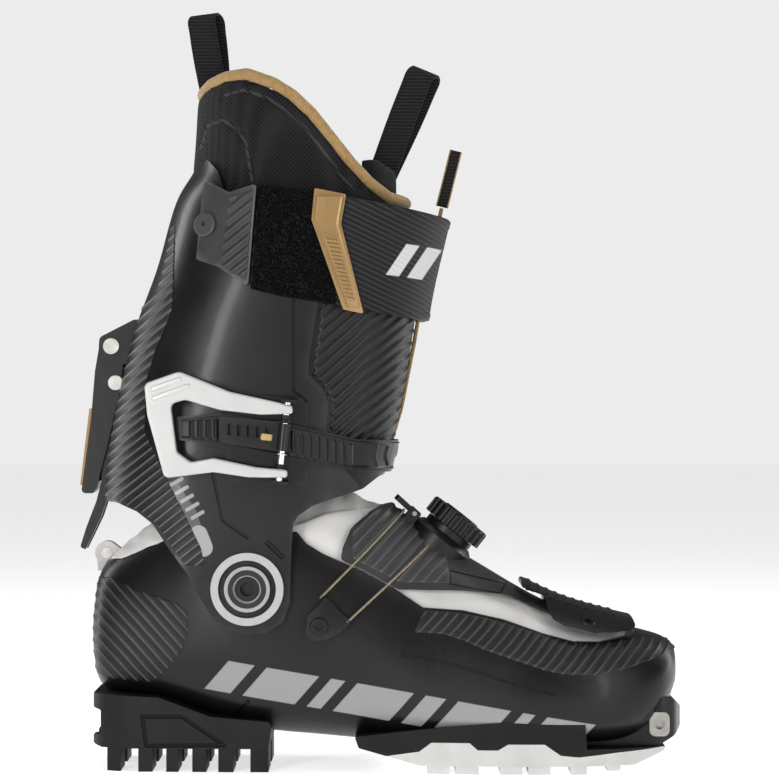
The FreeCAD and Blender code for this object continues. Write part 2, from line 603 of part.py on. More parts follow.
feature("release_clip_pin", release_pin)

# ---------------------------------------------------------------- cuff
x_p, z_p = PIVOT
cuff_inner = shaft(CUFF, -S["cuff_wall"])
cuff = shaft(CUFF).common(prism(CUFF_OUTLINE, radius=3)).cut(cuff_inner)
cuff = cuff.cut(pivot_holes(S["pivot_bush_radius"] + 0.02)).cut(box((-160, -100), (-9, 9), (100, 200)))
cuff = cuff.cut(rod(S["link_pin_radius"] + 0.8, (S["link_pin_x"], -12.6, S["link_pin_z"]),
                    (S["link_pin_x"], 12.6, S["link_pin_z"])))
feature("cuff_shell", cuff)
front_outer = -S["cuff_wall"] - 0.15
feature("cuff_front", cuff_patch(FRONT_OUTLINE, front_outer - S["front_wall"], front_outer, radius=4))

bolts, nuts, bushes, rings = [], [], [], []
for side in (-1, 1):
    def at(y):
        return (x_p, side * y, z_p)
    bolt = rod(S["pivot_bolt_radius"], at(38.5), at(51))
    bolt = bolt.cut(rod(6.8, at(47.5), at(52))).cut(rod(3.6, at(43), at(52)))
    bolts.append(bolt.cut(rod(5.0, at(38), at(40.5))))
    nut = rod(10.6, at(35.2), at(37.0)).fuse(rod(4.95, at(36.9), at(40.4)))
    nuts.append(nut)
    bushes.append(rod(S["pivot_bush_radius"], at(44.9), at(50.6)).cut(
        rod(S["pivot_bolt_radius"] + S["bearing_clearance"], at(44), at(52))))
    ring = rod(S["pivot_ring_radius"], at(46), at(50.4)).cut(rod(S["pivot_ring_hole"], at(45), at(52)))
    rings.append(ring.cut(shaft(CUFF, 0.05)))
feature("pivot_bolts", Part.makeCompound(bolts), expected=2)
feature("pivot_nuts", Part.makeCompound(nuts), expected=2)
feature("pivot_bushes", Part.makeCompound(bushes), expected=2)
feature("pivot_rings", Part.makeCompound(rings), expected=2)

ANCHOR = [(-89, 295), (-76, 288), (-62.2, 292), (-66.3, 241), (-81, 251), (-92.5, 255)]
strap_rivets = []
for side, name in ((-1, "strap_anchor_lateral"), (1, "strap_anchor_medial")):
    y_from, y_to = sorted((0, side * FAR))
    anchor = cuff_patch(ANCHOR, gap, 2.9, y_from, y_to, radius=1.5)
    place, normal = side_normal(shaft(CUFF, 2.95), -87.5, 272, side)
    strap_rivets.append(screw(place, normal, S["strap_rivet_radius"], 2.2, 2.7, socket=0.2))
    anchor = anchor.cut(Part.makeCylinder(S["strap_rivet_radius"] * 0.45 + 0.03, 6, place - normal * 3, normal))
    anchor = anchor.cut(Part.makeCylinder(S["strap_rivet_radius"] + 0.1, 6, place, normal))
    feature(name, anchor)
feature("strap_rivets", Part.makeCompound(strap_rivets), expected=2)

strap_in, strap_out = layer_gap, layer_gap + S["strap_thickness"]
strap = cuff_patch(STRAP_OUTLINE, strap_in, strap_out, radius=1, front=(1.6, 1.6 + S["strap_thickness"]))
feature("power_strap", strap)
PULL = [(-33.5, 289.5), (-18, 286.5), (-20.5, 272), (-9.5, 228), (-19.5, 230), (-35, 274)]
feature("strap_pull", cuff_patch(PULL, strap_out + gap, strap_out + 2.6, -FAR, 0, radius=0.8, front=(4.4, 6.9)))

# Buckle: base plate, ladder strap through it, latch plate and lever on one axle.
BASE = [(-77, 145), (-40, 142.5), (-37, 146), (-36.5, 182), (-40, 186.5), (-73, 188.5), (-77, 185)]
base_plate = cuff_patch(BASE, gap, 2.6, -FAR, 0, radius=3)
strap_low, strap_high = 2.9, 2.9 + S["ladder_thickness"]
ladder = cuff_patch(LADDER_OUTLINE, strap_low, strap_high, radius=2, front=(-2.8, -2.8 + S["ladder_thickness"]))
ladder = ladder.cut(box((-200, -56), (0, 100), (100, 220)))
buckle_turn = Rotation(Vector(0, 1, 0), math.degrees(math.atan2(0.11, 0.99)))
buckle_place = Placement(Vector(S["buckle_x"], S["buckle_y"], S["buckle_z"]), buckle_turn)
axle_direction = buckle_turn.multVec(Vector(0, 0, 1))
half_axle = S["buckle_axle_length"] / 2
axle_start = Vector(S["buckle_x"], S["buckle_y"], S["buckle_z"]) - axle_direction * half_axle
buckle_axle = cylinder("buckle_axle", "Sizes.buckle_axle_radius", "Sizes.buckle_axle_length",
                       tuple(axle_start), tuple(axle_direction))
keep(buckle_axle, "buckle_axle")
lug_pair = []
for low in (-half_axle, half_axle - 1.6):
    cheek = Part.makeBox(8, 11, 1.6, Vector(-3, -3.0, low))
    cheek.Placement = buckle_place.multiply(cheek.Placement)
    lug_pair.append(cheek.cut(shaft(CUFF, gap)))
axle_hole = Part.makeCylinder(S["buckle_axle_radius"] + 0.01, 60, Vector(0, 0, -30))
axle_hole.Placement = buckle_place
buckle_base = base_plate.fuse(lug_pair[0]).fuse(lug_pair[1]).cut(axle_hole)
feature("buckle_base", buckle_base)
spring_room = Part.makeCylinder(2.95, 1.4, Vector(0, 0, -6.9))
spring_room.Placement = buckle_place
feature("ladder_strap", ladder.cut(spring_room))

LEVER = [(-117, 193.5, 3), (-100, 199.5, 6), (-75, 189.5, 6), (-44.5, 182.8, 1.5), (-44, 178.6, 1.5),
         (-60, 178.2, 4), (-80, 180.5, 5), (-97, 185.5, 5), (-104, 183.5, 3), (-101, 160, 3), (-94, 155, 3),
         (-83, 157, 4), (-62, 152.5, 4), (-46.5, 151, 1.5), (-47, 147.2, 1.5), (-66, 147.5, 5), (-83, 150, 5), (-107, 147, 3),
         (-115.5, 178, 8)]
lever = padded_body("buckle_lever", "XZ_Plane", rounded(LEVER), "Sizes.buckle_lever_thickness", midplane=False,
                    placement=Placement(Vector(0, -54.6, 0), Rotation()))
soften(lever, 1.1, lambda e: e.CenterOfMass.y < -S["buckle_lever_thickness"] + 0.1)
lever_hole = lever.newObject("PartDesign::Pocket", "buckle_lever_hole")
hole_sketch = lever.newObject("Sketcher::SketchObject", "buckle_lever_hole_outline")
hole_sketch.AttachmentSupport = [(plane_of(lever, "XY_Plane"), "")]
hole_sketch.MapMode = "FlatFace"
local_axle = Vector(S["buckle_x"], S["buckle_y"] + 54.6, S["buckle_z"])
hole_sketch.AttachmentOffset = Placement(local_axle, buckle_turn)
hole_sketch.addGeometry([circle(S["buckle_axle_radius"] + S["bearing_clearance"])], False)
lever_hole.Profile = hole_sketch
lever_hole.Midplane = True
lever_hole.Length = 60
doc.recompute()
keep(lever, "buckle_lever")

LATCH = [(-80, 177.5), (-80, 164.5), (-52.5, 160.3), (-45.8, 160.3), (-45, 174.5), (-52.5, 175)]
latch_high = strap_high + 0.4
latch = cuff_patch(LATCH, latch_high, latch_high + 2.2, -FAR, 0, radius=1.5)
barrel = Part.makeCylinder(3.1, 13.4, Vector(0, 0, -4.6))
barrel.Placement = buckle_place
latch = latch.fuse(barrel.cut(shaft(CUFF, strap_high + 0.3, 0)))
clear_hole = Part.makeCylinder(S["buckle_axle_radius"] + S["bearing_clearance"], 60, Vector(0, 0, -30))
clear_hole.Placement = buckle_place
latch = latch.cut(clear_hole)
# The latch clears the strap over its whole swing.
strap_side = shaft(CUFF, strap_high + 0.35, 0).common(box((-62, -36), (-75, -40), (150, 185)))
for angle in (3, 6, 9, 12, 15, 18):
    met = strap_side.copy()
    met.rotate(Vector(S["buckle_x"], S["buckle_y"], S["buckle_z"]), axle_direction, -angle)
    latch = latch.cut(met)
for i in range(5):
    x = -76 + 4.6 * i
    latch = latch.cut(box((x, x + 1.8), (-80, -40), (168.2 - 0.35 * i, 173.6 - 0.35 * i)))
feature("buckle_latch", latch)
spring = Part.makeTorus(2.35, 0.5, Vector(0, 0, -6.2))
spring.Placement = buckle_place
feature("buckle_spring", spring)

KEEPER = [(-70, 181), (-44, 177), (-44, 151), (-70, 156)]
keeper_layer = cuff_patch(KEEPER, strap_high + gap, strap_high + 2.6, 0, FAR, radius=3)
place, normal = side_normal(shaft(CUFF, strap_high + 2.65), -52, 165.5, 1)
feature("ladder_keeper", keeper_layer.cut(Part.makeCylinder(2.28, 8, place - normal * 5, normal)))
feature("ladder_rivet", screw(place, normal, 5, 2.2, 2.6, socket=0.2))

# Walk lever: bracket cheeks on the spine, a channel-shaped lever, and a lock bar on a second pin.
lp, kp = (S["lever_pin_x"], S["lever_pin_z"]), (S["link_pin_x"], S["link_pin_z"])
bracket_parts = []
for y_from, y_to in ((-12.6, -10), (10, 12.6)):
    cheek = prism([(-143.5, 217), (-144, 208), (-138, 205.5), (-131, 203.5), (-118, 203.5), (-112, 226),
                   (-126, 226)], y_from, y_to, 3)
    bracket_parts.append(cheek)
web = box((-136, -112), (-12.6, 12.6), (219.5, 225.5))
web = web.common(prism([(-131, 219.5), (-112, 219.5), (-112, 226), (-126, 226)]))
bracket = bracket_parts[0].fuse(bracket_parts[1]).fuse(web).cut(shaft(CUFF, gap))
bracket = bracket.cut(rod(S["lever_pin_radius"] + 0.01, (lp[0], -20, lp[1]), (lp[0], 20, lp[1])))
feature("lever_bracket", bracket)
upper_pin = cylinder("lever_pin", "Sizes.lever_pin_radius", "Sizes.lever_pin_length",
                     (lp[0], S["lever_pin_length"] / 2, lp[1]))
keep(upper_pin, "lever_pin")
WALK_LEVER = [(-143.8, 213, 3), (-138, 219, 5), (-132.4, 214, 4), (-131.7, 204, 3), (-133, 192, 6), (-139.5, 163, 8),
              (-145.5, 140, 1.5), (-147, 138, 1), (-153, 138, 2), (-148, 176, 8), (-146, 200, 6)]
walk = padded_body("walk_lever", "XZ_Plane", rounded(WALK_LEVER), "2 * Sizes.lever_half_width")
CHANNEL = [(-139.3, 205.5), (-142.5, 188), (-149, 144), (-120, 144), (-120, 205.5)]
pocket(walk, "XZ_Plane", rounded(CHANNEL), "2 * Sizes.lever_channel_half_width")
pocket(walk, "XZ_Plane", [circle(S["lever_pin_radius"] + S["bearing_clearance"], *lp)], "60")
pocket(walk, "XZ_Plane", [circle(S["link_pin_radius"] + 0.01, *kp)], "60")
keep(walk, "walk_lever")
INLAY = [(-147.6, 181), (-149.2, 181), (-153.9, 142), (-152.6, 142)]
inlay = padded_body("lever_inlay", "XZ_Plane", rounded(INLAY, 0.4), "12")
keep(inlay, "lever_inlay")
link_pin = cylinder("link_pin", "Sizes.link_pin_radius", "Sizes.link_pin_length",
                    (kp[0], S["link_pin_length"] / 2, kp[1]))
keep(link_pin, "link_pin")
LOCK_BAR = [(-138.8, 198.5, 3), (-132.2, 198.5, 3), (-132.3, 190, 3), (-137.5, 165), (-138.2, 150),
            (-139, 138), (-143, 126), (-147.3, 117), (-151, 109.5), (-153.8, 110.5, 1.5), (-150.5, 121),
            (-145.5, 134), (-143, 144), (-142.2, 165), (-139, 190)]
bar_outer = prism(LOCK_BAR, -7.5, 7.5)
bar_inner = prism([(-160, 100), (-120, 100), (-120, 176), (-160, 176)], -4.9, 4.9)
bar_bore = rod(S["link_pin_radius"] + S["bearing_clearance"], (kp[0], -9, kp[1]), (kp[0], 9, kp[1]))
feature("lock_bar", bar_outer.cut(bar_inner).cut(bar_bore))

# ---------------------------------------------------------------- liner shaft, loops, release cord
shaft_zone = prism([(-160, 146), (-126, 146), (-112, 141), (-100, 160), (-34, 158), (-14, 150), (60, 150)] +
                   list(reversed([(x, z) for x, z in LINER_TOP])) + [(-160, 338)], radius=1)
notch_clear = box((-160, -100), (-14, 14), (100, 154))
liner = shaft(LINER).common(shaft_zone).cut(shaft(LINER, -S["liner_wall"]))
sweep_room = rod(64, (x_p, -60, z_p), (x_p, 60, z_p))
feature("liner_shaft", liner.cut(sweep_room).cut(notch_clear).cut(cuff))
piping_zone = prism([(x, z + 0.2) for x, z in LINER_TOP] + [(x, z + 3.4) for x, z in reversed(LINER_TOP)])
feature("liner_piping", shaft(LINER, 0.6).cut(shaft(LINER, -4.2)).common(piping_zone))
tongue_zone = prism([(-22, 168), (40, 168), (40, 299), (12, 301), (-4, 307), (-24, 309)], -27, 27, 3)
tongue = shaft(LINER, -S["liner_wall"] - 0.3).cut(shaft(LINER, -S["liner_wall"] - 5.5))
feature("liner_tongue", tongue.common(tongue_zone))


def webbing_loop(label, foot_point, lean, height, spread):
    """Inverted U of webbing: legs side by side in Y, its width along X before it leans."""
    half, thick = spread / 2, S["webbing_thickness"]
    outer = [(-half - thick, 0), (half + thick, 0), (half + thick, height, 5), (-half - thick, height, 5)]
    inner_loop = [(-half, -1), (half, -1), (half, height - thick, 3.4), (-half, height - thick, 3.4)]
    placement = Placement(Vector(*foot_point), Rotation(Vector(0, 1, 0), lean))
    loop = padded_body(label, "YZ_Plane", rounded(outer), "Sizes.webbing_width", placement=placement)
    pocket(loop, "YZ_Plane", rounded(inner_loop), "2 * Sizes.webbing_width")
    return keep(loop, label)


webbing_loop("rear_pull_loop", (-84.2, 0, 345.2 - 13), -7.5, 51, 10)
webbing_loop("front_pull_loop", (3.5, 0, 309), 22.5, 49, 10)
tab_place = Placement(Vector(33.4, 0, 297), Rotation(Vector(0, 1, 0), 14))
tab = padded_body("release_tab", "XZ_Plane", rounded([(-2, -14), (2, -14), (3.1, 16), (-3.1, 16)], 1), "1.8",
                  placement=tab_place)
keep(tab, "release_tab")


def cord(points, radius):
    """Tube along straight runs joined by tangent arcs, each 0.45 of its shorter run."""
    path, last = [], Vector(*points[0])
    for before, here, after in zip(points, points[1:], points[2:]):
        a, b = Vector(*before) - Vector(*here), Vector(*after) - Vector(*here)
        reach = 0.45 * min(a.Length, b.Length)
        a.normalize()
        b.normalize()
        corner = Vector(*here)
        half = a.getAngle(b) / 2
        bend = reach * math.tan(half)
        middle = corner + (a + b).normalize() * (bend / math.sin(half) - bend)
        path.append(Part.LineSegment(last, corner + a * reach).toShape())
        path.append(Part.Arc(corner + a * reach, middle, corner + b * reach).toShape())
        last = corner + b * reach
        print(f"cord bend radius {bend:.1f}")
    path.append(Part.LineSegment(last, Vector(*points[-1])).toShape())
    wire = Part.Wire(path)
    start = Vector(*points[0])
    profile = Part.Wire(Part.makeCircle(radius, start, Vector(*points[1]) - start))
    tube = wire.makePipeShell([profile], True, False)
    expected = math.pi * radius ** 2 * wire.Length
    print(f"cord length {wire.Length:.1f}, volume {tube.Volume:.1f} against {expected:.1f}")
    return tube


# The release cord leaves the tab, runs down between cuff front and straps and ends above the release clip.
RELEASE_CORD = [(29.9, 0, 283), (26, 0, 266), (20, 0, 238), (15.5, 0, 212), (9.8, 0, 183), (4.6, 0, 165),
                (2.9, 0, 152)]
release_cord = cord(RELEASE_CORD, S["cord_radius"])
feature("release_cord", release_cord.cut(shaft(CUFF, front_outer + 0.05)))

# Lace wires on each side: dial to guide pulley and back to the instep.
laces = []
for side in (-1, 1):
    for (x1, z1), (x2, z2) in (((12, 128.0), (-29.5, 85.0)), ((26, 113.5), (-17.5, 75.5))):
        first, _ = side_normal(foot(1.6), x1 - 4, z1 - 6, side)
        last, _ = side_normal(foot(1.6), x2 + 3, z2 + 4, side)
        middle, _ = side_normal(foot(2.4), (first.x + last.x) / 2, (first.z + last.z) / 2 - 0.2, side)
        laces.append(cord([tuple(first), tuple(middle), tuple(last)], S["lace_radius"]).cut(foot(0.35)))
feature("lace", Part.makeCompound([s for lace in laces for s in lace.Solids]), expected=4)

# ---------------------------------------------------------------- checks and files
doc.recompute()
for obj in doc.Objects:
    if "Invalid" in obj.State or "Error" in obj.State:
        raise RuntimeError(f"{obj.Name} failed: {obj.State}")
os.makedirs("parts", exist_ok=True)
for obj in nodes:
    shape = obj.Shape
    if shape.isNull() or not shape.isValid() or not shape.Solids:
        raise RuntimeError(f"{obj.Label} has a bad shape")
    shape.exportStep(os.path.join("parts", obj.Label + ".step"))
    b = shape.BoundBox
    print(f"{obj.Label:22s} solids {len(shape.Solids)} volume {shape.Volume / 1000:8.2f} cm3  "
          f"X {b.XMin:7.1f} {b.XMax:7.1f}  Y {b.YMin:6.1f} {b.YMax:6.1f}  Z {b.ZMin:6.1f} {b.ZMax:6.1f}")
print(len(nodes), "nodes")
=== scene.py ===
"""Looks of the alpine touring boot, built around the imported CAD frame. Metres, +X toe, +Y medial, +Z up."""
import json
import math

import bmesh
import bpy
import numpy as np
from mathutils import Matrix, Vector
from mathutils.bvhtree import BVHTree

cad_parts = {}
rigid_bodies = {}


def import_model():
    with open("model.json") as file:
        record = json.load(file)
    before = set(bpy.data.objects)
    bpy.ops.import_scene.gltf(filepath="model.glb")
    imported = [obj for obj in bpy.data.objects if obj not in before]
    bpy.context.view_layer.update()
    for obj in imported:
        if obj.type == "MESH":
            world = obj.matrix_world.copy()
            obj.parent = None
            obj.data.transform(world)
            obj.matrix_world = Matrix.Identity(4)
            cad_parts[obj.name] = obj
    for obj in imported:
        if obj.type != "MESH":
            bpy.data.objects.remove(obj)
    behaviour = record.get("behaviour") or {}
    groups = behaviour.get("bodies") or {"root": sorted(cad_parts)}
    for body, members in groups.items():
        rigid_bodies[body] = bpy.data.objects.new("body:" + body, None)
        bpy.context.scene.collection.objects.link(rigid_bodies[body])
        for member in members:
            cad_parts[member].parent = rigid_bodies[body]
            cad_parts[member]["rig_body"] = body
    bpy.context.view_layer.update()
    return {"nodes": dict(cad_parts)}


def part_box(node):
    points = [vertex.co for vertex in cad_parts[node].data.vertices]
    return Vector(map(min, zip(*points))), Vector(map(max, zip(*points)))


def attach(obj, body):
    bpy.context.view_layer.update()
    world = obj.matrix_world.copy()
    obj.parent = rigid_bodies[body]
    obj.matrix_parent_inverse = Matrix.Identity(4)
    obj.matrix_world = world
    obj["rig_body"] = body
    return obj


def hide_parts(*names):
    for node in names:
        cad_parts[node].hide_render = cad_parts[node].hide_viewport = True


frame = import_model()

MM = 0.001
CAMERA_DISTANCE, HALF_VIEW = 1.5, 0.1987
FLOOR_REACH = 6.0
NODES = frame["nodes"]
ACHILLES_SEAM = [(-93, 311), (-91, 315), (-88, 323), (-80, 325), (-72, 320), (-68, 313), (-65, 295),
                 (-64, 285)]
RIM_SEAM = [(-80, 337), (-69, 339.5), (-57, 335), (-48, 329), (-38, 320), (-29, 308), (-20, 296), (-10, 287)]


# ================================================================ camera, light, floor
def camera():
    data = bpy.data.cameras.new("camera")
    data.sensor_width = 36
    data.angle = 2 * math.atan(HALF_VIEW / CAMERA_DISTANCE)
    obj = bpy.data.objects.new("camera", data)
    obj.location = (0.0033, -CAMERA_DISTANCE, 0.1906)
    obj.rotation_euler = (math.pi / 2, 0, 0)
    bpy.context.collection.objects.link(obj)
    bpy.context.scene.camera = obj


def area_light(name, place, aim, size, power, tint=(1, 1, 1)):
    data = bpy.data.lights.new(name, "AREA")
    data.shape = "RECTANGLE"
    data.size, data.size_y = size
    data.energy = power
    data.color = tint
    obj = bpy.data.objects.new(name, data)
    obj.location = place
    obj.rotation_euler = (Vector(aim) - Vector(place)).to_track_quat("-Z", "Y").to_euler()
    bpy.context.collection.objects.link(obj)


def studio():
    area_light("key", (-0.75, -1.5, 0.75), (-0.05, 0, 0.2), (0.8, 1.3), 2.2)
    area_light("fill", (1.3, -1.1, 0.6), (0.03, 0, 0.12), (0.6, 1.2), 2)
    area_light("strip_left", (-0.58, -1.3, 0.3), (-0.07, 0, 0.2), (0.2, 1.3), 10)
    area_light("strip_right", (0.85, -1.25, 0.3), (0.03, 0, 0.15), (0.1, 1.2), 4.5)
    area_light("top", (0.1, -0.1, 1.5), (0, 0, 0.1), (1.2, 0.8), 6)
    area_light("rim_left", (-1.3, 0.5, 0.5), (-0.1, 0, 0.2), (0.4, 1.2), 8)
    area_light("rim_right", (1.3, 0.7, 0.5), (0.05, 0, 0.15), (0.4, 1.2), 7)
    world = bpy.data.worlds.new("world")
    world.use_nodes = True
    nodes, links = world.node_tree.nodes, world.node_tree.links
    soft_box, backdrop = nodes["Background"], nodes.new("ShaderNodeBackground")
    soft_box.inputs["Color"].default_value = backdrop.inputs["Color"].default_value = (1, 1, 1, 1)
    soft_box.inputs["Strength"].default_value = 0.12
    backdrop.inputs["Strength"].default_value = 0.84
    mix = nodes.new("ShaderNodeMixShader")
    links.new(nodes.new("ShaderNodeLightPath").outputs["Is Camera Ray"], mix.inputs[0])
    links.new(soft_box.outputs[0], mix.inputs[1])
    links.new(backdrop.outputs[0], mix.inputs[2])
    links.new(mix.outputs[0], nodes["World Output"].inputs["Surface"])
    bpy.context.scene.world = world
    bpy.context.scene.view_settings.view_transform = "Standard"
    mesh = bpy.data.meshes.new("floor")
    w = FLOOR_REACH
    mesh.from_pydata([(-w, -w, 0), (w, -w, 0), (w, w, 0), (-w, w, 0)], [], [(0, 1, 2, 3)])
    floor = bpy.data.objects.new("floor", mesh)
    bpy.context.collection.objects.link(floor)
    paint = Graph("floor_paint", (0.85, 0.85, 0.85), 0.8, Emission_Color=(1, 1, 1, 1), Emission_Strength=0.7)
    floor.data.materials.append(paint.material)


# ================================================================ materials
class Graph:
    """A Principled material with short calls for the nodes that feed it.

    Texture space is metres in the frame of the CAD model.
    """

    def __init__(self, name, colour, rough, metal=0.0, **sockets):
        self.material = bpy.data.materials.new(name)
        self.material.use_nodes = True
        self.tree = self.material.node_tree
        self.shader = self.tree.nodes["Principled BSDF"]
        self.colour, self.rough = colour, rough
        self.set("Base Color", (*colour, 1))
        self.set("Roughness", rough)
        self.set("Metallic", metal)
        self.material.diffuse_color = (*colour, 1)
        for key, value in sockets.items():
            self.set(key.replace("_", " "), value)
        self.space = self.node("ShaderNodeTexCoord").outputs["Object"]
        self.height = None

    def set(self, socket, value):
        self.shader.inputs[socket].default_value = value

    def node(self, kind, **fields):
        made = self.tree.nodes.new(kind)
        for key, value in fields.items():
            setattr(made, key, value)
        return made

    def link(self, source, target):
        self.tree.links.new(source, target)

    def math(self, operation, a, b=0.0, c=0.0):
        made = self.node("ShaderNodeMath", operation=operation)
        for socket, value in zip(made.inputs, (a, b, c)):
            if isinstance(value, (int, float)):
                socket.default_value = value
            else:
                self.link(value, socket)
        return made.outputs[0]

    def axis(self, name):
        return self.separate().outputs[name]

    def separate(self):
        if not hasattr(self, "_xyz"):
            self._xyz = self.node("ShaderNodeSeparateXYZ")
            self.link(self.space, self._xyz.inputs[0])
        return self._xyz

    def noise(self, scale, detail=3.0, stretch=None):
        made = self.node("ShaderNodeTexNoise")
        made.inputs["Scale"].default_value = scale
        made.inputs["Detail"].default_value = detail
        source = self.space
        if stretch is not None:
            mapping = self.node("ShaderNodeMapping")
            mapping.inputs["Scale"].default_value = stretch
            self.link(source, mapping.inputs["Vector"])
            source = mapping.outputs[0]
        self.link(source, made.inputs["Vector"])
        return made.outputs["Fac"]

    def ramp(self, value, low, high):
        """Map value from 0..1 linearly to low..high."""
        made = self.node("ShaderNodeMapRange")
        self.link(value, made.inputs["Value"])
        made.inputs["To Min"].default_value = low
        made.inputs["To Max"].default_value = high
        return made.outputs[0]

    def inverse(self, value):
        return self.math("SUBTRACT", 1.0, value)

    def step(self, value, edge, soft):
        made = self.node("ShaderNodeMapRange", interpolation_type="SMOOTHSTEP")
        self.link(value, made.inputs["Value"])
        made.inputs["From Min"].default_value = edge - soft
        made.inputs["From Max"].default_value = edge + soft
        return made.outputs[0]

    def paint(self, factor, other):
        """Mix the colour so far towards another one where factor is 1."""
        mix = self.node("ShaderNodeMix", data_type="RGBA")
        source = self.shader.inputs["Base Color"]
        if source.is_linked:
            self.link(source.links[0].from_socket, mix.inputs["A"])
        else:
            mix.inputs["A"].default_value = source.default_value
        if isinstance(other, tuple):
            mix.inputs["B"].default_value = (*other, 1)
        else:
            self.link(other, mix.inputs["B"])
        self.link(factor, mix.inputs["Factor"])
        self.link(mix.outputs["Result"], source)
        return self

    def mottle(self, scale, amount, detail=4.0):
        """Lighten and darken the colour a little, so that no surface is one flat tone."""
        other = tuple(min(1.0, c * (1 + amount) + 0.004 * amount) for c in self.colour)
        return self.paint(self.step(self.noise(scale, detail), 0.5, 0.22), other)

    def roughen(self, scale, low, high, detail=3.0):
        self.link(self.ramp(self.noise(scale, detail), low, high), self.shader.inputs["Roughness"])
        return self

    def bump(self, height, distance, strength=1.0):
        made = self.node("ShaderNodeBump")
        made.inputs["Distance"].default_value = distance
        made.inputs["Strength"].default_value = strength
        self.link(height, made.inputs["Height"])
        if self.height is not None:
            self.link(self.height, made.inputs["Normal"])
        self.height = made.outputs[0]
        self.link(self.height, self.shader.inputs["Normal"])
        return self

    def wear(self, colour, amount=0.5):
        """Rub the convex edges lighter."""
        geometry = self.node("ShaderNodeNewGeometry")
        edge = self.step(geometry.outputs["Pointiness"], 0.56, 0.04)
        broken = self.math("MULTIPLY", edge, self.ramp(self.noise(180, 3), 0.2, 1.0))
        return self.paint(self.math("MULTIPLY", broken, amount), colour)

    def stripes(self, direction, pitch, phase=0.0):
        """Triangle wave 0..1 along a direction in (x, y, z)."""
        xyz = self.separate().outputs
        total = None
        for part, name in zip(direction, "XYZ"):
            if part:
                term = self.math("MULTIPLY", xyz[name], part / pitch)
                total = term if total is None else self.math("ADD", total, term)
        return self.math("PINGPONG", self.math("ADD", total, phase), 0.5)

    def path_distance(self, path):
        """Distance in the side view to a polyline of (x, z) in millimetres."""
        xyz, nearest = self.separate().outputs, None
        for (ax, az), (bx, bz) in zip(path, path[1:]):
            dx, dz = (bx - ax) * MM, (bz - az) * MM
            x = self.math("SUBTRACT", xyz["X"], ax * MM)
            z = self.math("SUBTRACT", xyz["Z"], az * MM)
            along = self.math("MULTIPLY_ADD", x, dx, self.math("MULTIPLY", z, dz))
            t = self.math("DIVIDE", along, dx * dx + dz * dz)
            t = self.math("MINIMUM", self.math("MAXIMUM", t, 0.0), 1.0)
            x = self.math("MULTIPLY_ADD", t, -dx, x)
            z = self.math("MULTIPLY_ADD", t, -dz, z)
            square = self.math("MULTIPLY_ADD", x, x, self.math("MULTIPLY", z, z))
            nearest = square if nearest is None else self.math("MINIMUM", nearest, square)
        return self.math("SQRT", nearest)

    def lateral(self):
        return self.math("LESS_THAN", self.axis("Y"), -0.02)

    def groove(self, path, half_width, depth):
        """Narrow groove along a polyline as bump, with painted shade that darkens its bottom."""
        near = self.step(self.path_distance(path), half_width, half_width * 0.6)
        self.bump(near, depth)
        # painted shade: the groove's bottom is darkened to 0.3 of the colour
        return self.paint(self.inverse(near), tuple(c * 0.3 for c in self.colour))

    def patch(self, path, radius, colour, strength=1.0):
        """Painted round-ended stroke on the lateral side."""
        inside = self.inverse(self.step(self.path_distance(path), radius, 0.0002))
        return self.paint(self.math("MULTIPLY", self.math("MULTIPLY", inside, self.lateral()), strength),
                          colour)

    def weave(self, pitch, distance, first=(0.7, 0, 0.7), second=(-0.7, 0, 0.7)):
        """Crossed threads as bump."""
        a = self.stripes(first, pitch)
        b = self.stripes(second, pitch)
        return self.bump(self.math("MULTIPLY", self.math("MULTIPLY", a, b), 4), distance)


def moulded(name, colour, rough, grain=0.00006, coat=0.06):
    g = Graph(name, colour, rough, Specular_IOR_Level=0.28, Coat_Weight=coat, Coat_Roughness=0.15)
    g.mottle(30, 0.5).roughen(55, rough - 0.05, rough + 0.08)
    return g.bump(g.noise(2600, 2), grain)


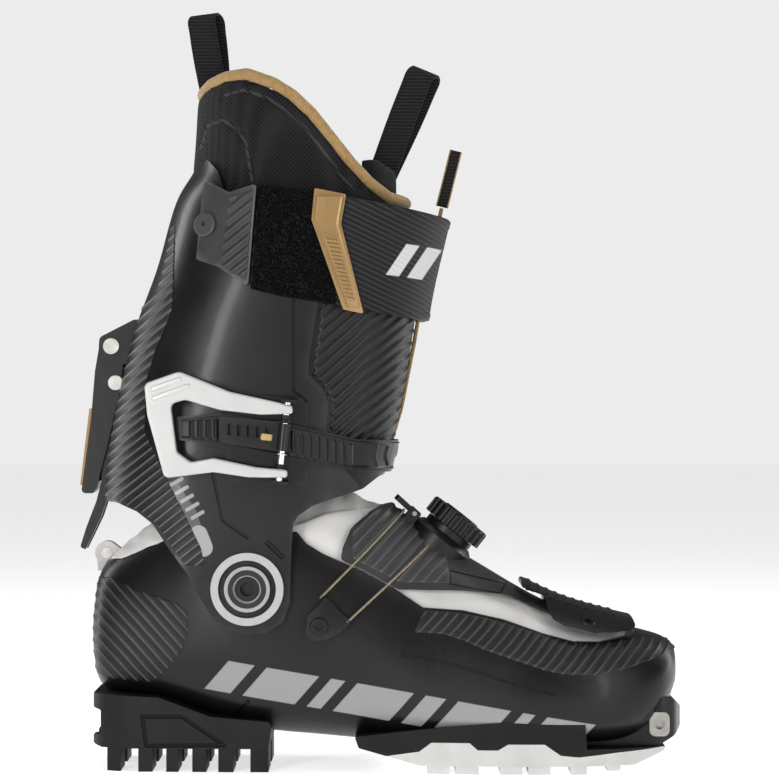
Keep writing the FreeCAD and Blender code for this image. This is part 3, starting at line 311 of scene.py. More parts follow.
def make_materials():
    m = {}
    m["clog"] = clog_plastic()
    m["cuff"] = cuff_plastic()
    m["rib"] = moulded("rib_plastic", (0.004, 0.004, 0.0045), 0.36).material
    # The rib materials carry painted highlights along their rib crests.
    m["toe_rib"] = rib_highlight_plastic("toe_rib_plastic", (0.011, 0.011, 0.012), (0.055, 0.055, 0.055), 0.0041, 47)
    m["heel_rib"] = rib_highlight_plastic("heel_rib_plastic", (0.005, 0.005, 0.0055), (0.055, 0.055, 0.055), 0.0041,
                                  -47)
    m["spine_rib"] = rib_highlight_plastic("spine_rib_plastic", (0.005, 0.005, 0.0055), (0.1, 0.1, 0.1), 0.0037, 38)
    m["front_rib"] = rib_highlight_plastic("front_rib_plastic", (0.003, 0.003, 0.0035), (0.02, 0.02, 0.02), 0.0041,
                                   42)
    m["trim"] = moulded("trim_plastic", (0.005, 0.005, 0.0055), 0.35).material
    m["anchor"] = moulded("anchor_plastic", (0.03, 0.03, 0.03), 0.45).wear((0.16, 0.16, 0.16)).material
    flap = moulded("flap_elastomer", (0.02, 0.02, 0.021), 0.34, coat=0.12)
    flap.paint(flap.step(flap.noise(22), 0.5, 0.3), (0.05, 0.05, 0.052))
    # Outline groove, its bottom darkened as painted shade.
    flap.groove([(33.5, 100), (62, 92.5), (59, 88.5), (33.5, 93.5), (33.5, 100)], 0.0004, 0.0007)
    m["flap"] = flap.material
    m["flap_rib"] = rib_highlight_plastic("flap_rib_elastomer", (0.035, 0.035, 0.037), (0.085, 0.085, 0.086), 0.0046,
                                  45)
    m["sole_grey"] = rubber("sole_grey_rubber", (0.55, 0.545, 0.53)).material
    heel = rubber("sole_black_rubber", (0.006, 0.006, 0.006))
    # Outline groove on the heel sole, its bottom darkened as painted shade.
    m["sole_black"] = heel.groove([(-120, 27.5), (-100, 27.5), (-79, 13.5), (-118, 13), (-120, 27.5)], 0.0007,
                                  0.001).material
    m["nickel"] = metal("nickel", (0.36, 0.35, 0.33), 0.3)
    m["chrome"] = metal("bright_chrome", (0.72, 0.72, 0.72), 0.12)
    m["brass"] = metal("brass_block", (0.45, 0.33, 0.15), 0.3)
    m["black_metal"] = painted("black_anodised", (0.007, 0.007, 0.0075), 0.3)
    m["rivet"] = painted("rivet_lacquer", (0.07, 0.069, 0.068), 0.4)
    m["silver"] = painted("silver_lacquer", (0.4, 0.395, 0.39), 0.42)
    m["buckle"] = painted("light_grey_lacquer", (0.56, 0.555, 0.545), 0.36, coat=0.35)
    m["gold"] = painted("bronze_gold_lacquer", (0.30, 0.185, 0.07), 0.38)
    m["white"] = gaiter_fabric()
    m["lug"] = moulded("light_grey_moulding", (0.56, 0.54, 0.52), 0.45).material
    m["mesh"] = liner_mesh()
    m["lining"] = liner_lining()
    m["piping"] = knit_piping()
    m["twill"] = strap_twill()
    m["loop_pile"] = strap_pile()
    m["webbing"] = ribbed_webbing()
    m["lace"] = cord_sheath("lace_sheath", (0.33, 0.26, 0.17), 0.0016)
    m["gold_cord"] = cord_sheath("gold_cord_sheath", (0.33, 0.2, 0.06), 0.0022)
    m["board"] = moulded("board_plastic", (0.16, 0.16, 0.17), 0.5).material
    m["pivot"] = ringed_metal("pivot_metal", ((9.5, 11.3), (6.2, 6.9)))
    return m


def rib_highlight_plastic(name, colour, line, pitch, slope_degrees):
    """Moulded plastic whose rib crests, at the pitch and slope of their geometry, are painted lighter as
    highlights.
    """
    g = moulded(name, colour, 0.4)
    slope = math.radians(slope_degrees)
    wave = g.stripes((-math.sin(slope), 0, math.cos(slope)), pitch)
    # painted highlight: a lighter line along each rib crest
    return g.paint(g.step(wave, 0.4, 0.06), line).material


def slanted_bars(g, origin, slope, height, slant, bars):
    """Mask of plain slanted bars (from, to), in a band that starts at origin (x, z) and rises by slope."""
    x = g.math("SUBTRACT", g.axis("X"), origin[0])
    z = g.math("SUBTRACT", g.axis("Z"), origin[1])
    v = g.math("SUBTRACT", z, g.math("MULTIPLY", x, slope))
    u = g.math("SUBTRACT", x, g.math("MULTIPLY", v, slant))
    edge = 0.0003
    band = g.math("MULTIPLY", g.step(v, 0.0, edge), g.inverse(g.step(v, height, edge)))
    total = None
    for start, stop in bars:
        bar = g.math("MULTIPLY", g.step(u, start, edge), g.inverse(g.step(u, stop, edge)))
        total = bar if total is None else g.math("ADD", total, bar)
    return g.math("MULTIPLY", band, total)


def clog_plastic():
    g = moulded("clog_plastic", (0.0035, 0.0035, 0.004), 0.32, coat=0.1)
    bars = [(0.000, 0.013), (0.019, 0.045), (0.051, 0.058), (0.064, 0.092), (0.098, 0.108), (0.114, 0.140),
            (0.146, 0.152), (0.158, 0.182)]
    mask = slanted_bars(g, (-0.089, 0.0415), -0.172, 0.0165, 0.75, bars)
    # Grooves as bump, their bottoms darkened as painted shade.
    g.groove([(10, 59), (20, 57.5), (35, 54), (50, 50), (65, 45), (85, 40)], 0.0006, 0.0009)
    g.groove([(-76, 26), (-67, 35)], 0.0006, 0.0009)
    g.paint(g.math("MULTIPLY", mask, g.lateral()), (0.3, 0.3, 0.3))
    return g.wear((0.05, 0.05, 0.05), 0.3).material


def cuff_plastic():
    g = moulded("cuff_plastic", (0.004, 0.004, 0.0045), 0.3, coat=0.2)
    # Seam and facet grooves as bump, their bottoms darkened as painted shade.
    g.groove([(-44, 235), (-44, 190), (-38, 185)], 0.0005, 0.0008)
    g.groove([(-84, 150), (-79, 126), (-67, 117.5)], 0.0006, 0.0008)
    g.groove([(-57, 115), (-50, 108)], 0.0009, 0.0009)
    g.patch([(-104, 141), (-96, 129), (-91, 114)], 0.0042, (0.11, 0.11, 0.11), 0.8)
    g.patch([(-91, 119), (-88.5, 112.5)], 0.0045, (0.36, 0.36, 0.36))
    for i in range(5):
        x, z = -104.5 + 2.6 * i, 143.5 - 4.1 * i
        g.patch([(x, z), (x + 5.2, z + 3.0)], 0.0009, (0.33, 0.33, 0.33))
    return g.wear((0.06, 0.06, 0.06), 0.3).material


def ringed_metal(name, rings):
    """Black lacquer turned bright between pairs of radii about the cuff pivot."""
    g = painted_graph(name, (0.014, 0.014, 0.015), 0.32, 0.2)
    radius = g.path_distance([(-67, 92), (-67.001, 92)])
    for inner, outer in rings:
        ring = g.math("SUBTRACT", g.step(radius, inner * MM, 0.0001), g.step(radius, outer * MM, 0.0001))
        g.paint(ring, (0.4, 0.39, 0.38))
    return g.material


def rubber(name, colour):
    g = Graph(name, colour, 0.55, Specular_IOR_Level=0.22)
    g.mottle(60, 0.15).roughen(90, 0.45, 0.65)
    g.bump(g.noise(900, 4), 0.00012)
    return g.wear(tuple(min(1, c * 1.5 + 0.02) for c in colour), 0.3)


def metal(name, colour, rough):
    g = Graph(name, colour, rough, 1.0)
    g.mottle(200, 0.25).roughen(300, rough - 0.06, rough + 0.12)
    return g.bump(g.noise(1500, 2, (1, 1, 12)), 0.00002).material


def painted_graph(name, colour, rough, coat):
    g = Graph(name, colour, rough, 0.35, Specular_IOR_Level=0.35, Coat_Weight=coat, Coat_Roughness=0.18)
    g.mottle(90, 0.06).roughen(160, rough - 0.05, rough + 0.08)
    g.bump(g.noise(3000, 2), 0.00003)
    return g.wear(tuple(min(1, c * 1.4 + 0.03) for c in colour), 0.4)


def painted(name, colour, rough, coat=0.2):
    return painted_graph(name, colour, rough, coat).material


def gaiter_fabric():
    g = Graph("gaiter_fabric", (0.8, 0.785, 0.76), 0.6, Sheen_Weight=0.15)
    g.mottle(40, -0.12)
    g.weave(0.0009, 0.00008)
    return g.bump(g.noise(60, 3), 0.0006, 0.4).material


def liner_mesh():
    g = Graph("liner_mesh", (0.003, 0.003, 0.0035), 0.72, Specular_IOR_Level=0.15, Sheen_Weight=0.02,
              Sheen_Roughness=0.5)
    dots = g.node("ShaderNodeTexVoronoi", feature="F1", distance="EUCLIDEAN")
    dots.inputs["Scale"].default_value = 620
    dots.inputs["Randomness"].default_value = 0.0
    turned = g.node("ShaderNodeMapping")
    turned.inputs["Rotation"].default_value = (0, math.radians(45), 0)
    turned.inputs["Scale"].default_value = (1, 0.45, 1)
    g.link(g.space, turned.inputs["Vector"])
    g.link(turned.outputs[0], dots.inputs["Vector"])
    hole = g.step(dots.outputs["Distance"], 0.36, 0.1)
    g.paint(hole, (0.014, 0.014, 0.015))
    g.bump(hole, 0.00035)
    # Lighter dashes along the seams: stitch thread, and also a painted highlight along each seam.
    for seam in (ACHILLES_SEAM, RIM_SEAM):
        thread = g.inverse(g.step(g.path_distance(seam), 0.0007, 0.0003))
        stitch_and_highlight = g.step(g.stripes((0.7, 0, 0.7), 0.0034), 0.12, 0.04)
        g.paint(g.math("MULTIPLY", thread, stitch_and_highlight), (0.045, 0.045, 0.046))
    return g.material


def liner_lining():
    g = Graph("liner_lining", (0.008, 0.008, 0.0085), 0.85, Specular_IOR_Level=0.15, Sheen_Weight=0.05)
    g.mottle(300, 0.6)
    return g.weave(0.0012, 0.00012).material


def knit_piping():
    g = Graph("knit_piping", (0.43, 0.265, 0.09), 0.7, Sheen_Weight=0.3)
    g.mottle(400, -0.35)
    g.paint(g.step(g.stripes((1, 0, 0.3), 0.0014), 0.3, 0.15), (0.3, 0.175, 0.055))
    return g.weave(0.0011, 0.00018).material


def strap_twill():
    g = Graph("strap_twill", (0.005, 0.005, 0.0055), 0.55, Specular_IOR_Level=0.25, Sheen_Weight=0.02)
    rib = g.stripes((0.42, 0, 0.9), 0.0024)
    thread = g.stripes((0.9, 0, -0.42), 0.0008)
    g.paint(g.step(rib, 0.36, 0.08), (0.032, 0.032, 0.033))
    g.bump(g.math("ADD", rib, g.math("MULTIPLY", thread, 0.35)), 0.00045)
    bars = [(0.0, 0.0065), (0.0105, 0.018)]
    mask = slanted_bars(g, (0.0015, 0.2475), -0.11, 0.0165, 0.62, bars)
    g.paint(g.math("MULTIPLY", mask, g.math("LESS_THAN", g.axis("Y"), -0.006)), (0.62, 0.61, 0.6))
    return g.material


def strap_pile():
    g = Graph("strap_pile", (0.002, 0.002, 0.002), 0.95, Specular_IOR_Level=0.05, Sheen_Weight=0.01,
              Sheen_Roughness=0.6)
    fuzz = g.noise(1100, 5)
    g.paint(g.step(fuzz, 0.58, 0.1), (0.016, 0.016, 0.016))
    return g.bump(fuzz, 0.0009).material


def ribbed_webbing():
    g = Graph("ribbed_webbing", (0.004, 0.004, 0.0045), 0.66, Specular_IOR_Level=0.2, Sheen_Weight=0.02)
    rows = g.stripes((0, 0, 1), 0.0017)
    g.paint(g.step(rows, 0.4, 0.08), (0.025, 0.025, 0.026))
    g.bump(rows, 0.0005)
    return g.bump(g.stripes((1, 0, 0), 0.0011), 0.00015).material


def cord_sheath(name, colour, pitch):
    g = Graph(name, colour, 0.55, Sheen_Weight=0.2)
    g.mottle(500, -0.3)
    return g.weave(pitch, 0.00015, (0.8, 0, 0.9), (0.8, 0, -0.9)).material


# ================================================================ mesh helpers
def dress(obj, material):
    """One material and smooth shading all over."""
    obj.data.materials.clear()
    obj.data.materials.append(material)
    for polygon in obj.data.polygons:
        polygon.use_smooth = True


def add_object(name, verts, faces, material, body=None):
    mesh = bpy.data.meshes.new(name)
    mesh.from_pydata([tuple(v) for v in verts], [], faces)
    mesh.validate()
    obj = bpy.data.objects.new(name, mesh)
    bpy.context.collection.objects.link(obj)
    dress(obj, material)
    if body:
        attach(obj, body)
    return obj


def ring_faces(verts, count):
    """Faces between rings of count points."""
    return [(a, b, b + count, a + count) for start in range(0, len(verts) - count, count)
            for a, b in ((start + i, start + (i + 1) % count) for i in range(count))]


def swept(name, verts, count, material, body):
    """Closed piece through rings of count points, with a flat cap at each end."""
    caps = [tuple(reversed(range(count))), tuple(range(len(verts) - count, len(verts)))]
    return add_object(name, verts, ring_faces(verts, count) + caps, material, body)


def unit(rows):
    return rows / np.linalg.norm(rows, axis=1, keepdims=True)


def path_frame(path, up):
    """Unit vectors across and above a path of points."""
    tangent = unit(np.gradient(path, axis=0))
    across = unit(np.cross(tangent, up))
    return across, np.cross(across, tangent)


def apply_modifiers(obj):
    graph = bpy.context.evaluated_depsgraph_get()
    mesh = bpy.data.meshes.new_from_object(obj.evaluated_get(graph))
    old = obj.data
    obj.modifiers.clear()
    obj.data = mesh
    bpy.data.meshes.remove(old)


def tree_of(*nodes):
    """Search tree over the surfaces of some CAD nodes."""
    verts, faces = [], []
    for node in nodes:
        mesh = NODES[node].data
        start = len(verts)
        verts += [v.co.copy() for v in mesh.vertices]
        faces += [[start + i for i in p.vertices] for p in mesh.polygons]
    return BVHTree.FromPolygons(verts, faces)


def grid_normals(grid):
    """Unit normals of a (rows, columns, 3) grid of points."""
    du = np.gradient(grid, axis=1)
    dv = np.gradient(grid, axis=0)
    n = np.cross(du, dv)
    return n / np.maximum(np.linalg.norm(n, axis=2, keepdims=True), 1e-12)


def relax(grid, rounds=2):
    """Smooth a grid's inside a little, to lose the facets of the surface that it was cast on."""
    for _ in range(rounds):
        middle = grid[1:-1, 1:-1]
        around = (grid[:-2, 1:-1] + grid[2:, 1:-1] + grid[1:-1, :-2] + grid[1:-1, 2:]) / 4
        grid[1:-1, 1:-1] = middle * 0.5 + around * 0.5
    return grid


def skin_object(name, grid, height, material, body, outward, sink=0.0007):
    """Skin from a grid of points, lifted by height(x, z, u, v) along its normals, its rim sunk into the part."""
    grid = relax(grid)
    normal = grid_normals(grid)
    middle = grid.shape[0] // 2, grid.shape[1] // 2
    if np.dot(normal[middle], outward(grid[middle])) < 0:
        normal = -normal
    rows, cols = grid.shape[:2]
    v, u = np.meshgrid(np.linspace(0, 1, rows), np.linspace(0, 1, cols), indexing="ij")
    lift = height(grid[..., 0], grid[..., 2], u, v)
    lift[0, :] = lift[-1, :] = -sink
    lift[:, 0] = lift[:, -1] = -sink
    points = (grid + normal * lift[..., None]).reshape(-1, 3)
    faces = [(i, i + 1, i + cols + 1, i + cols)
             for start in range(0, (rows - 1) * cols, cols) for i in range(start, start + cols - 1)]
    obj = add_object(name, points, faces, material)
    bm = bmesh.new()
    bm.from_mesh(obj.data)
    bmesh.ops.recalc_face_normals(bm, faces=bm.faces)
    probe = bm.faces[len(bm.faces) // 2]
    if probe.normal.dot(Vector(outward(np.array(probe.calc_center_median())))) < 0:
        bmesh.ops.reverse_faces(bm, faces=bm.faces)
    bm.to_mesh(obj.data)
    bm.free()
    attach(obj, body)
    return obj


def ribs(pitch, slope_degrees, high, share=0.55, base=0.0003):
    """Height function of raised ribs whose lines climb towards +X at slope_degrees."""
    a = math.radians(slope_degrees)
    nx, nz = -math.sin(a), math.cos(a)

    def height(x, z, u, v):
        phase = ((x * nx + z * nz) / pitch) % 1.0
        distance = np.abs(phase - 0.5) * 2
        edge = np.clip((share - distance) / 0.22 + 0.5, 0, 1)
        fade = np.clip(np.minimum(np.minimum(u, 1 - u) / 0.012, np.minimum(v, 1 - v) / 0.06), 0, 1)
        return base + high * edge * edge * (3 - 2 * edge) * fade
    return height


def curve_of(points):
    """Piecewise-linear function through (x, value) pairs given in millimetres, in metres."""
    xs, values = zip(*sorted(points))
    return lambda x: np.interp(x, np.array(xs) * MM, np.array(values) * MM)


def outward_from(centre):
    return lambda p: np.array([p[0] - centre[0], p[1] - centre[1], 0.0])


make = make_materials()
camera()
studio()

# ================================================================ CAD nodes keep their shape, get materials
FINISH = {
    "clog": ["lower_shell", "lace_guide_lateral", "lace_guide_medial"],
    "cuff": ["cuff_shell"], "rib": ["cuff_front"],
    "trim": ["toe_clip", "ladder_strap", "ladder_keeper", "dial_base", "dial_spool", "dial_knob",
             "release_clip",
             "release_clip_ears"],
    "flap": ["instep_flap"], "anchor": ["strap_anchor_lateral", "strap_anchor_medial"],
    "sole_grey": ["forefoot_sole"], "sole_black": ["heel_sole", "sole_rand"],
    "nickel": ["toe_inserts", "heel_insert", "heel_insert_screws", "heel_lug_pin", "lever_pin", "link_pin",
               "release_clip_pin"],
    "chrome": ["buckle_axle", "buckle_spring"],
    "pivot": ["pivot_bushes", "pivot_bolts"],
    "black_metal": ["pivot_nuts", "toe_clip_screws", "lace_guide_screws",
                    "ladder_rivet", "lever_bracket", "walk_lever", "lock_bar", "buckle_latch", "buckle_base"],
    "rivet": ["strap_rivets"], "silver": ["pivot_rings"], "buckle": ["buckle_lever"],
    "gold": ["strap_pull", "lever_inlay"], "white": ["instep_gaiter", "heel_collar"], "lug": ["heel_lug"],
    "mesh": ["liner_foot", "liner_shaft"], "lining": ["liner_tongue"], "piping": ["liner_piping"],
    "twill": ["power_strap"], "webbing": ["rear_pull_loop", "front_pull_loop", "release_tab"],
    "lace": ["lace"], "gold_cord": ["release_cord"], "board": ["boot_board", "footbed"],
}
for finish, names in FINISH.items():
    for name in names:
        node = NODES[name]
        node.data.materials.clear()
        node.data.materials.append(make[finish])


# ================================================================ grids on curved surfaces
def cast_row(tree, rays, wanted):
    """Hits of some rays that pass wanted(point), in order."""
    hits = [tree.ray_cast(origin, direction, 0.4)[0] for origin, direction in rays]
    return [h for h in hits if h is not None and wanted(h)]


def horizontal_rays(centre, z, degrees):
    for angle in degrees:
        out = Vector((math.cos(math.radians(angle)), math.sin(math.radians(angle)), 0))
        yield Vector((*centre, z)) + out * 0.3, -out


def section_rays(x, centre, degrees):
    """Rays in the plane at x, aimed at centre (y, z). 0 is the lateral side, 90 is up."""
    for angle in degrees:
        out = Vector((0, -math.cos(math.radians(angle)), math.sin(math.radians(angle))))
        yield Vector((x, *centre)) + out * 0.2, -out


def resampled(points, count):
    """Polyline with count points at even distances."""
    array = np.array([tuple(p) for p in points])
    run = np.concatenate([[0], np.cumsum(np.linalg.norm(np.diff(array, axis=0), axis=1))])
    wanted = np.linspace(0, run[-1], count)
    return np.stack([np.interp(wanted, run, array[:, k]) for k in range(3)], axis=1)


def grid_from_rows(rows, count):
    return np.stack([resampled(row, count) for row in rows if len(row) > 3])


def anywhere(point):
    return True


def band_grid(tree, centre, degrees, z_low, z_high, rows, count, wanted=anywhere):
    """Grid on a band whose lower and upper edges are functions of x, from the lower edge up."""
    def hit(x, angle, t):
        z = z_low(x) * (1 - t) + z_high(x) * t
        origin, direction = next(horizontal_rays(centre, z, [angle]))
        return tree.ray_cast(origin, direction, 0.3)[0]

    xs, x = [], centre[0]
    for angle in reversed(degrees):
        for _ in range(4):
            point = hit(x, angle, 0.5)
            x = x if point is None else point.x
        xs.insert(0, x)
    result = []
    for t in np.linspace(0, 1, rows):
        for _ in range(2):
            points = [hit(x, angle, t) for angle, x in zip(degrees, xs)]
            xs = [x if p is None else p.x for p, x in zip(points, xs)]
        result.append([p for p in points if p is not None and wanted(p)])
    return grid_from_rows(result, count)


def level_grid(tree, centre, zs, degrees, wanted, count):
    """Grid on a wall, one row for each height."""
    return grid_from_rows([cast_row(tree, horizontal_rays(centre, z, degrees), wanted) for z in zs], count)


def smooth_step(x):
    x = np.clip(x, 0, 1)
    return x * x * (3 - 2 * x)


def hump(x, half_width):
    """1 at x = 0, falling smoothly to 0 at half_width."""
    return smooth_step(1 - np.abs(x) / half_width)


# ================================================================ ribbed panels on the clog and cuff
clog_tree = tree_of("lower_shell")
toe_upper = curve_of([(20, 81), (35, 80.2), (50, 78), (70, 72.3), (85, 67.5), (100, 64.2), (115, 65),
                      (127, 67),
                      (140, 64.8), (146, 62.5)])
toe_lower = curve_of([(5, 70), (20, 69.5), (30, 68.8), (40, 65.5), (50, 61), (65, 56), (80, 51), (90, 49),
                      (105, 48.5), (120, 51), (132, 54.5), (142, 57.5), (148, 59)])
TOE_CENTRE = (0.085, 0.003)
toe_band = band_grid(clog_tree, TOE_CENTRE, np.linspace(-148, 148, 420), toe_lower, toe_upper, 18, 470)
skin_object("toe_rib_panel", toe_band, ribs(0.0041, 47, 0.0005, share=0.22), make["toe_rib"], "clog",
            outward_from(TOE_CENTRE))

heel_upper = curve_of([(-147, 96), (-137, 97), (-126, 92), (-104, 85), (-96, 80)])
heel_lower = curve_of([(-147, 47), (-138, 45), (-115, 43.5), (-108, 50), (-100, 61), (-96, 72)])
HEEL_CENTRE = (-0.09, 0.0)
heel_band = band_grid(clog_tree, HEEL_CENTRE, np.linspace(100, 260, 300), heel_lower, heel_upper, 60, 230)
skin_object("heel_rib_panel", heel_band, ribs(0.0041, -47, 0.0004, share=0.22), make["heel_rib"], "clog",
            outward_from(HEEL_CENTRE))

# The spine of the cuff has ribs on both sides of the walk lever.
cuff_tree = tree_of("cuff_shell")
spine_front = curve_of([(95, 86), (112, 89.5), (130, 98), (150, 108), (170, 118), (195, 117.5), (210, 113),
                        (224, 107), (231, 104.3), (277, 104.2), (290, 104)])
spine_rear = curve_of([(95, 93), (100, 95), (112, 104), (124, 112), (130, 120), (134, 130.5), (137, 141),
                       (229, 141), (233, 120.5), (239, 113.4), (251, 110), (277, 105.8), (290, 105)])
for side, name in ((-1, "lateral"), (1, "medial")):
    spine_grid = level_grid(cuff_tree, (-0.066, 0), np.arange(0.103, 0.2735, 0.0007),
                            np.linspace(184, 275, 420) if side < 0 else np.linspace(176, 85, 420),
                            lambda p: -spine_rear(p.z) <= p.x <= -spine_front(p.z) and abs(p.y) > 0.0128, 75)
    skin_object(f"spine_ribs_{name}", spine_grid, ribs(0.0037, 38, 0.0004, share=0.2), make["spine_rib"],
                "cuff",
                outward_from((-0.066, 0)))

# The front of the cuff is ribbed from edge to edge.
front_tree = tree_of("cuff_front")
front_edge = curve_of([(150, -22), (171, -26.5), (184, -25.5), (191, -28.5), (198, -35), (205, -34.7),
                       (220, -32.5),
                       (235, -30.5)])
front_grid = level_grid(front_tree, (-0.05, 0), np.arange(0.153, 0.2345, 0.0007), np.linspace(-125, 125, 500),
                        lambda p: p.x >= front_edge(p.z), 240)
skin_object("cuff_front_ribs", front_grid, ribs(0.0041, 42, 0.0007, share=0.3), make["front_rib"], "cuff",
            outward_from((-0.05, 0)))

# The instep flap has moulded ribs behind the dial.
flap_tree = tree_of("instep_flap")
flap_low = curve_of([(-20, 110), (-14, 105), (-10, 103.5), (8, 94), (30, 93.5), (40, 93)])
flap_rows = [cast_row(flap_tree, section_rays(x, (0.0015, 0.055), np.linspace(5, 175, 420)),
                      lambda p: p.z >= flap_low(p.x)) for x in np.arange(-0.0155, 0.0335, 0.0007)]
skin_object("flap_ribs", grid_from_rows(flap_rows, 150), ribs(0.0046, 45, 0.0007, share=0.45),
            make["flap_rib"],
            "clog", lambda p: np.array([0.0, p[1], p[2] - 0.055]))

# Ribbed half of each strap anchor.
anchor_left = curve_of([(240, -82), (252, -80.5), (287, -75.5), (292, -75)])
anchor_right = curve_of([(240, -67), (292, -63)])
anchor_low = curve_of([(-82, 253), (-79, 250.5), (-67, 243.5), (-60, 240)])
anchor_high = curve_of([(-80, 285.5), (-75.5, 286), (-63, 290), (-60, 291)])
for side, name in ((-1, "lateral"), (1, "medial")):
    tree = tree_of(f"strap_anchor_{name}")
    degrees = np.linspace(150, 90, 200) * side
    grid = band_grid(tree, (-0.06, 0), degrees, anchor_low, anchor_high, 60, 30,
                     lambda p: anchor_left(p.z) <= p.x <= anchor_right(p.z))
    skin_object(f"strap_anchor_ribs_{name}", grid, ribs(0.0042, 38, 0.0009, share=0.5), make["anchor"],
                "cuff",
                outward_from((-0.06, 0)))


# ================================================================ ladder strap, pull tab and buckle
def ladder_relief(x, z, u, v):
    """Raised borders, bars across the tip and the front run, and chevrons at the front."""
    border = np.maximum(hump(v, 0.17), hump(1 - v, 0.17)) * 0.0007
    inner = smooth_step(np.minimum(v, 1 - v) / 0.08 - 1.4)
    bars = np.zeros_like(x)
    for centre in list(np.arange(-0.0440, -0.0120, 0.0040)) + list(np.arange(-0.0940, -0.0800, 0.0040)):
        bars = np.maximum(bars, hump(x - centre, 0.0013))
    for centre in (-0.0045, 0.0010, 0.0065):
        bars = np.maximum(bars, hump(x - centre - 0.004 * np.abs(v - 0.5), 0.0011))
    return 0.0002 + border + bars * inner * 0.0009


ladder_tree = tree_of("ladder_strap")
ladder_high = curve_of([(-103, 176), (-80, 178), (-47, 173), (-13, 165.3), (30, 163.4)])
ladder_low = curve_of([(-103, 167), (-80, 164), (-47, 156.5), (-13, 150.8), (30, 148.8)])
ladder_grid = band_grid(ladder_tree, (-0.04, 0), np.linspace(-138, 20, 520), ladder_low, ladder_high, 26, 420)
skin_object("ladder_strap_face", ladder_grid, ladder_relief, make["trim"], "cuff", outward_from((-0.04, 0)))

PULL_LEFT = curve_of([(229, -17.6), (231.5, -18.4), (274, -34.2), (288, -32.6)])
PULL_RIGHT = curve_of([(229, -10), (272, -21), (286.5, -18.6)])


def pull_relief(x, z, u, v):
    """Rims, a folded facet at the top and fifteen small bars below it."""
    rim = np.maximum(hump(u, 0.12), hump(1 - u, 0.16)) * 0.0006
    bars = np.zeros_like(z)
    for i in range(15):
        bars = np.maximum(bars, hump(z + (x + 0.024) * 0.12 - 0.2365 - 0.00195 * i, 0.0006))
    inside = smooth_step((u - 0.16) / 0.06) * smooth_step((0.74 - u) / 0.06)
    facet = np.clip((z - 0.268) / 0.019, 0, 1) * (1 - np.abs(u - 0.35)) * 0.0016
    return 0.0002 + rim + bars * inside * 0.0008 + facet


pull_tree = tree_of("strap_pull")
pull_grid = level_grid(pull_tree, (-0.03, 0), np.arange(0.2305, 0.2862, 0.00045), np.linspace(-125, -45, 420),
                       lambda p: PULL_LEFT(p.z) + 0.0004 <= p.x <= PULL_RIGHT(p.z) - 0.0004, 40)
skin_object("strap_pull_face", pull_grid, pull_relief, make["gold"], "cuff", outward_from((-0.03, 0)))


def capsule(name, start, stop, radius, high, material, body, across=(0, -1, 0)):
    """Raised lozenge with round ends between two points, high along across."""
    start, stop, up = Vector(start), Vector(stop), Vector(across).normalized()
    along = (stop - start).normalized()
    side = along.cross(up)
    verts, count = [], 28
    for scale, lift in ((1.0, 0.0), (0.92, 0.55), (0.7, 0.85), (0.35, 0.98)):
        for i in range(count):
            angle = 2 * math.pi * i / count
            centre = stop if math.cos(angle) >= 0 else start
            flat = (along * math.cos(angle) + side * math.sin(angle)) * radius * scale
            verts.append(centre + flat + up * high * lift)
    top = tuple(range(len(verts) - count, len(verts)))
    return add_object(name, verts, ring_faces(verts, count) + [top], material, body)


lever_low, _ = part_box("buckle_lever")
for i, (start, stop) in enumerate((((-112.5, 190.8), (-99.5, 195.5)), ((-112.0, 186.2), (-95.5, 192.2)))):
    capsule(f"buckle_lever_grip_{i}", Vector((start[0], 0, start[1])) * MM + Vector((0, lever_low.y, 0)),
            Vector((stop[0], 0, stop[1])) * MM + Vector((0, lever_low.y, 0)), 0.0013, 0.0006, make["buckle"],
            "buckle_lever")


# ================================================================ soft goods
def thicken(obj, thickness):
    """Give a skin its thickness inwards, and keep the body that it rides on."""
    body = obj["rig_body"]
    obj.parent = None
    modifier = obj.modifiers.new("thickness", "SOLIDIFY")
    modifier.thickness = thickness
    modifier.offset = -1
    apply_modifiers(obj)
    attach(obj, body)
    return obj


def strap_relief(x, z, u, v):
    """Raised borders with a stitched channel, over a slight sag."""
    edge = np.minimum(v, 1 - v)
    border = smooth_step((0.085 - edge) / 0.012) * 0.0005
    seam = hump(edge - 0.045, 0.008) * 0.0004
    sag = 0.0005 * np.sin(u * 9 + 1) * np.sin(v * math.pi)
    return 0.0002 + border - seam + sag


def boundary_edges(mesh):
    seen = {}
    for polygon in mesh.polygons:
        for key in polygon.edge_keys:
            seen[key] = seen.get(key, 0) + 1
    return {key for key, count in seen.items() if count == 1}


strap_tree = tree_of("power_strap")
strap_high = curve_of([(-62, 291.6), (-33, 288.1), (0, 282.7), (60, 271.6)])
strap_low = curve_of([(-66, 240.4), (-50, 236.4), (-20, 231.9), (10, 226.4), (60, 219.4)])
strap_rear = curve_of([(238, -65.6), (292, -61.4)])
strap_grid = band_grid(strap_tree, (-0.03, 0), np.linspace(-128, 128, 620), strap_low, strap_high, 64, 330,
                       lambda p: p.x >= strap_rear(p.z))
strap = skin_object("power_strap_webbing", strap_grid, strap_relief, make["twill"], "cuff",
                    outward_from((-0.03, 0)),
                    sink=0.0003)
strap.data.materials.append(make["loop_pile"])
fuzz = np.random.default_rng(7)
for polygon in strap.data.polygons:
    x, y, z = polygon.center
    if y < 0 and x < -0.0255 - 0.0001 * (z - 0.26) / MM:
        polygon.material_index = 1
pile = {i for p in strap.data.polygons if p.material_index == 1 for i in p.vertices}
rim = {i for key in boundary_edges(strap.data) for i in key}
for i in sorted(pile - rim):
    vertex = strap.data.vertices[i]
    vertex.co += vertex.normal * float(fuzz.uniform(0.0, 0.0007))
thicken(strap, 0.0022)
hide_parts("power_strap")


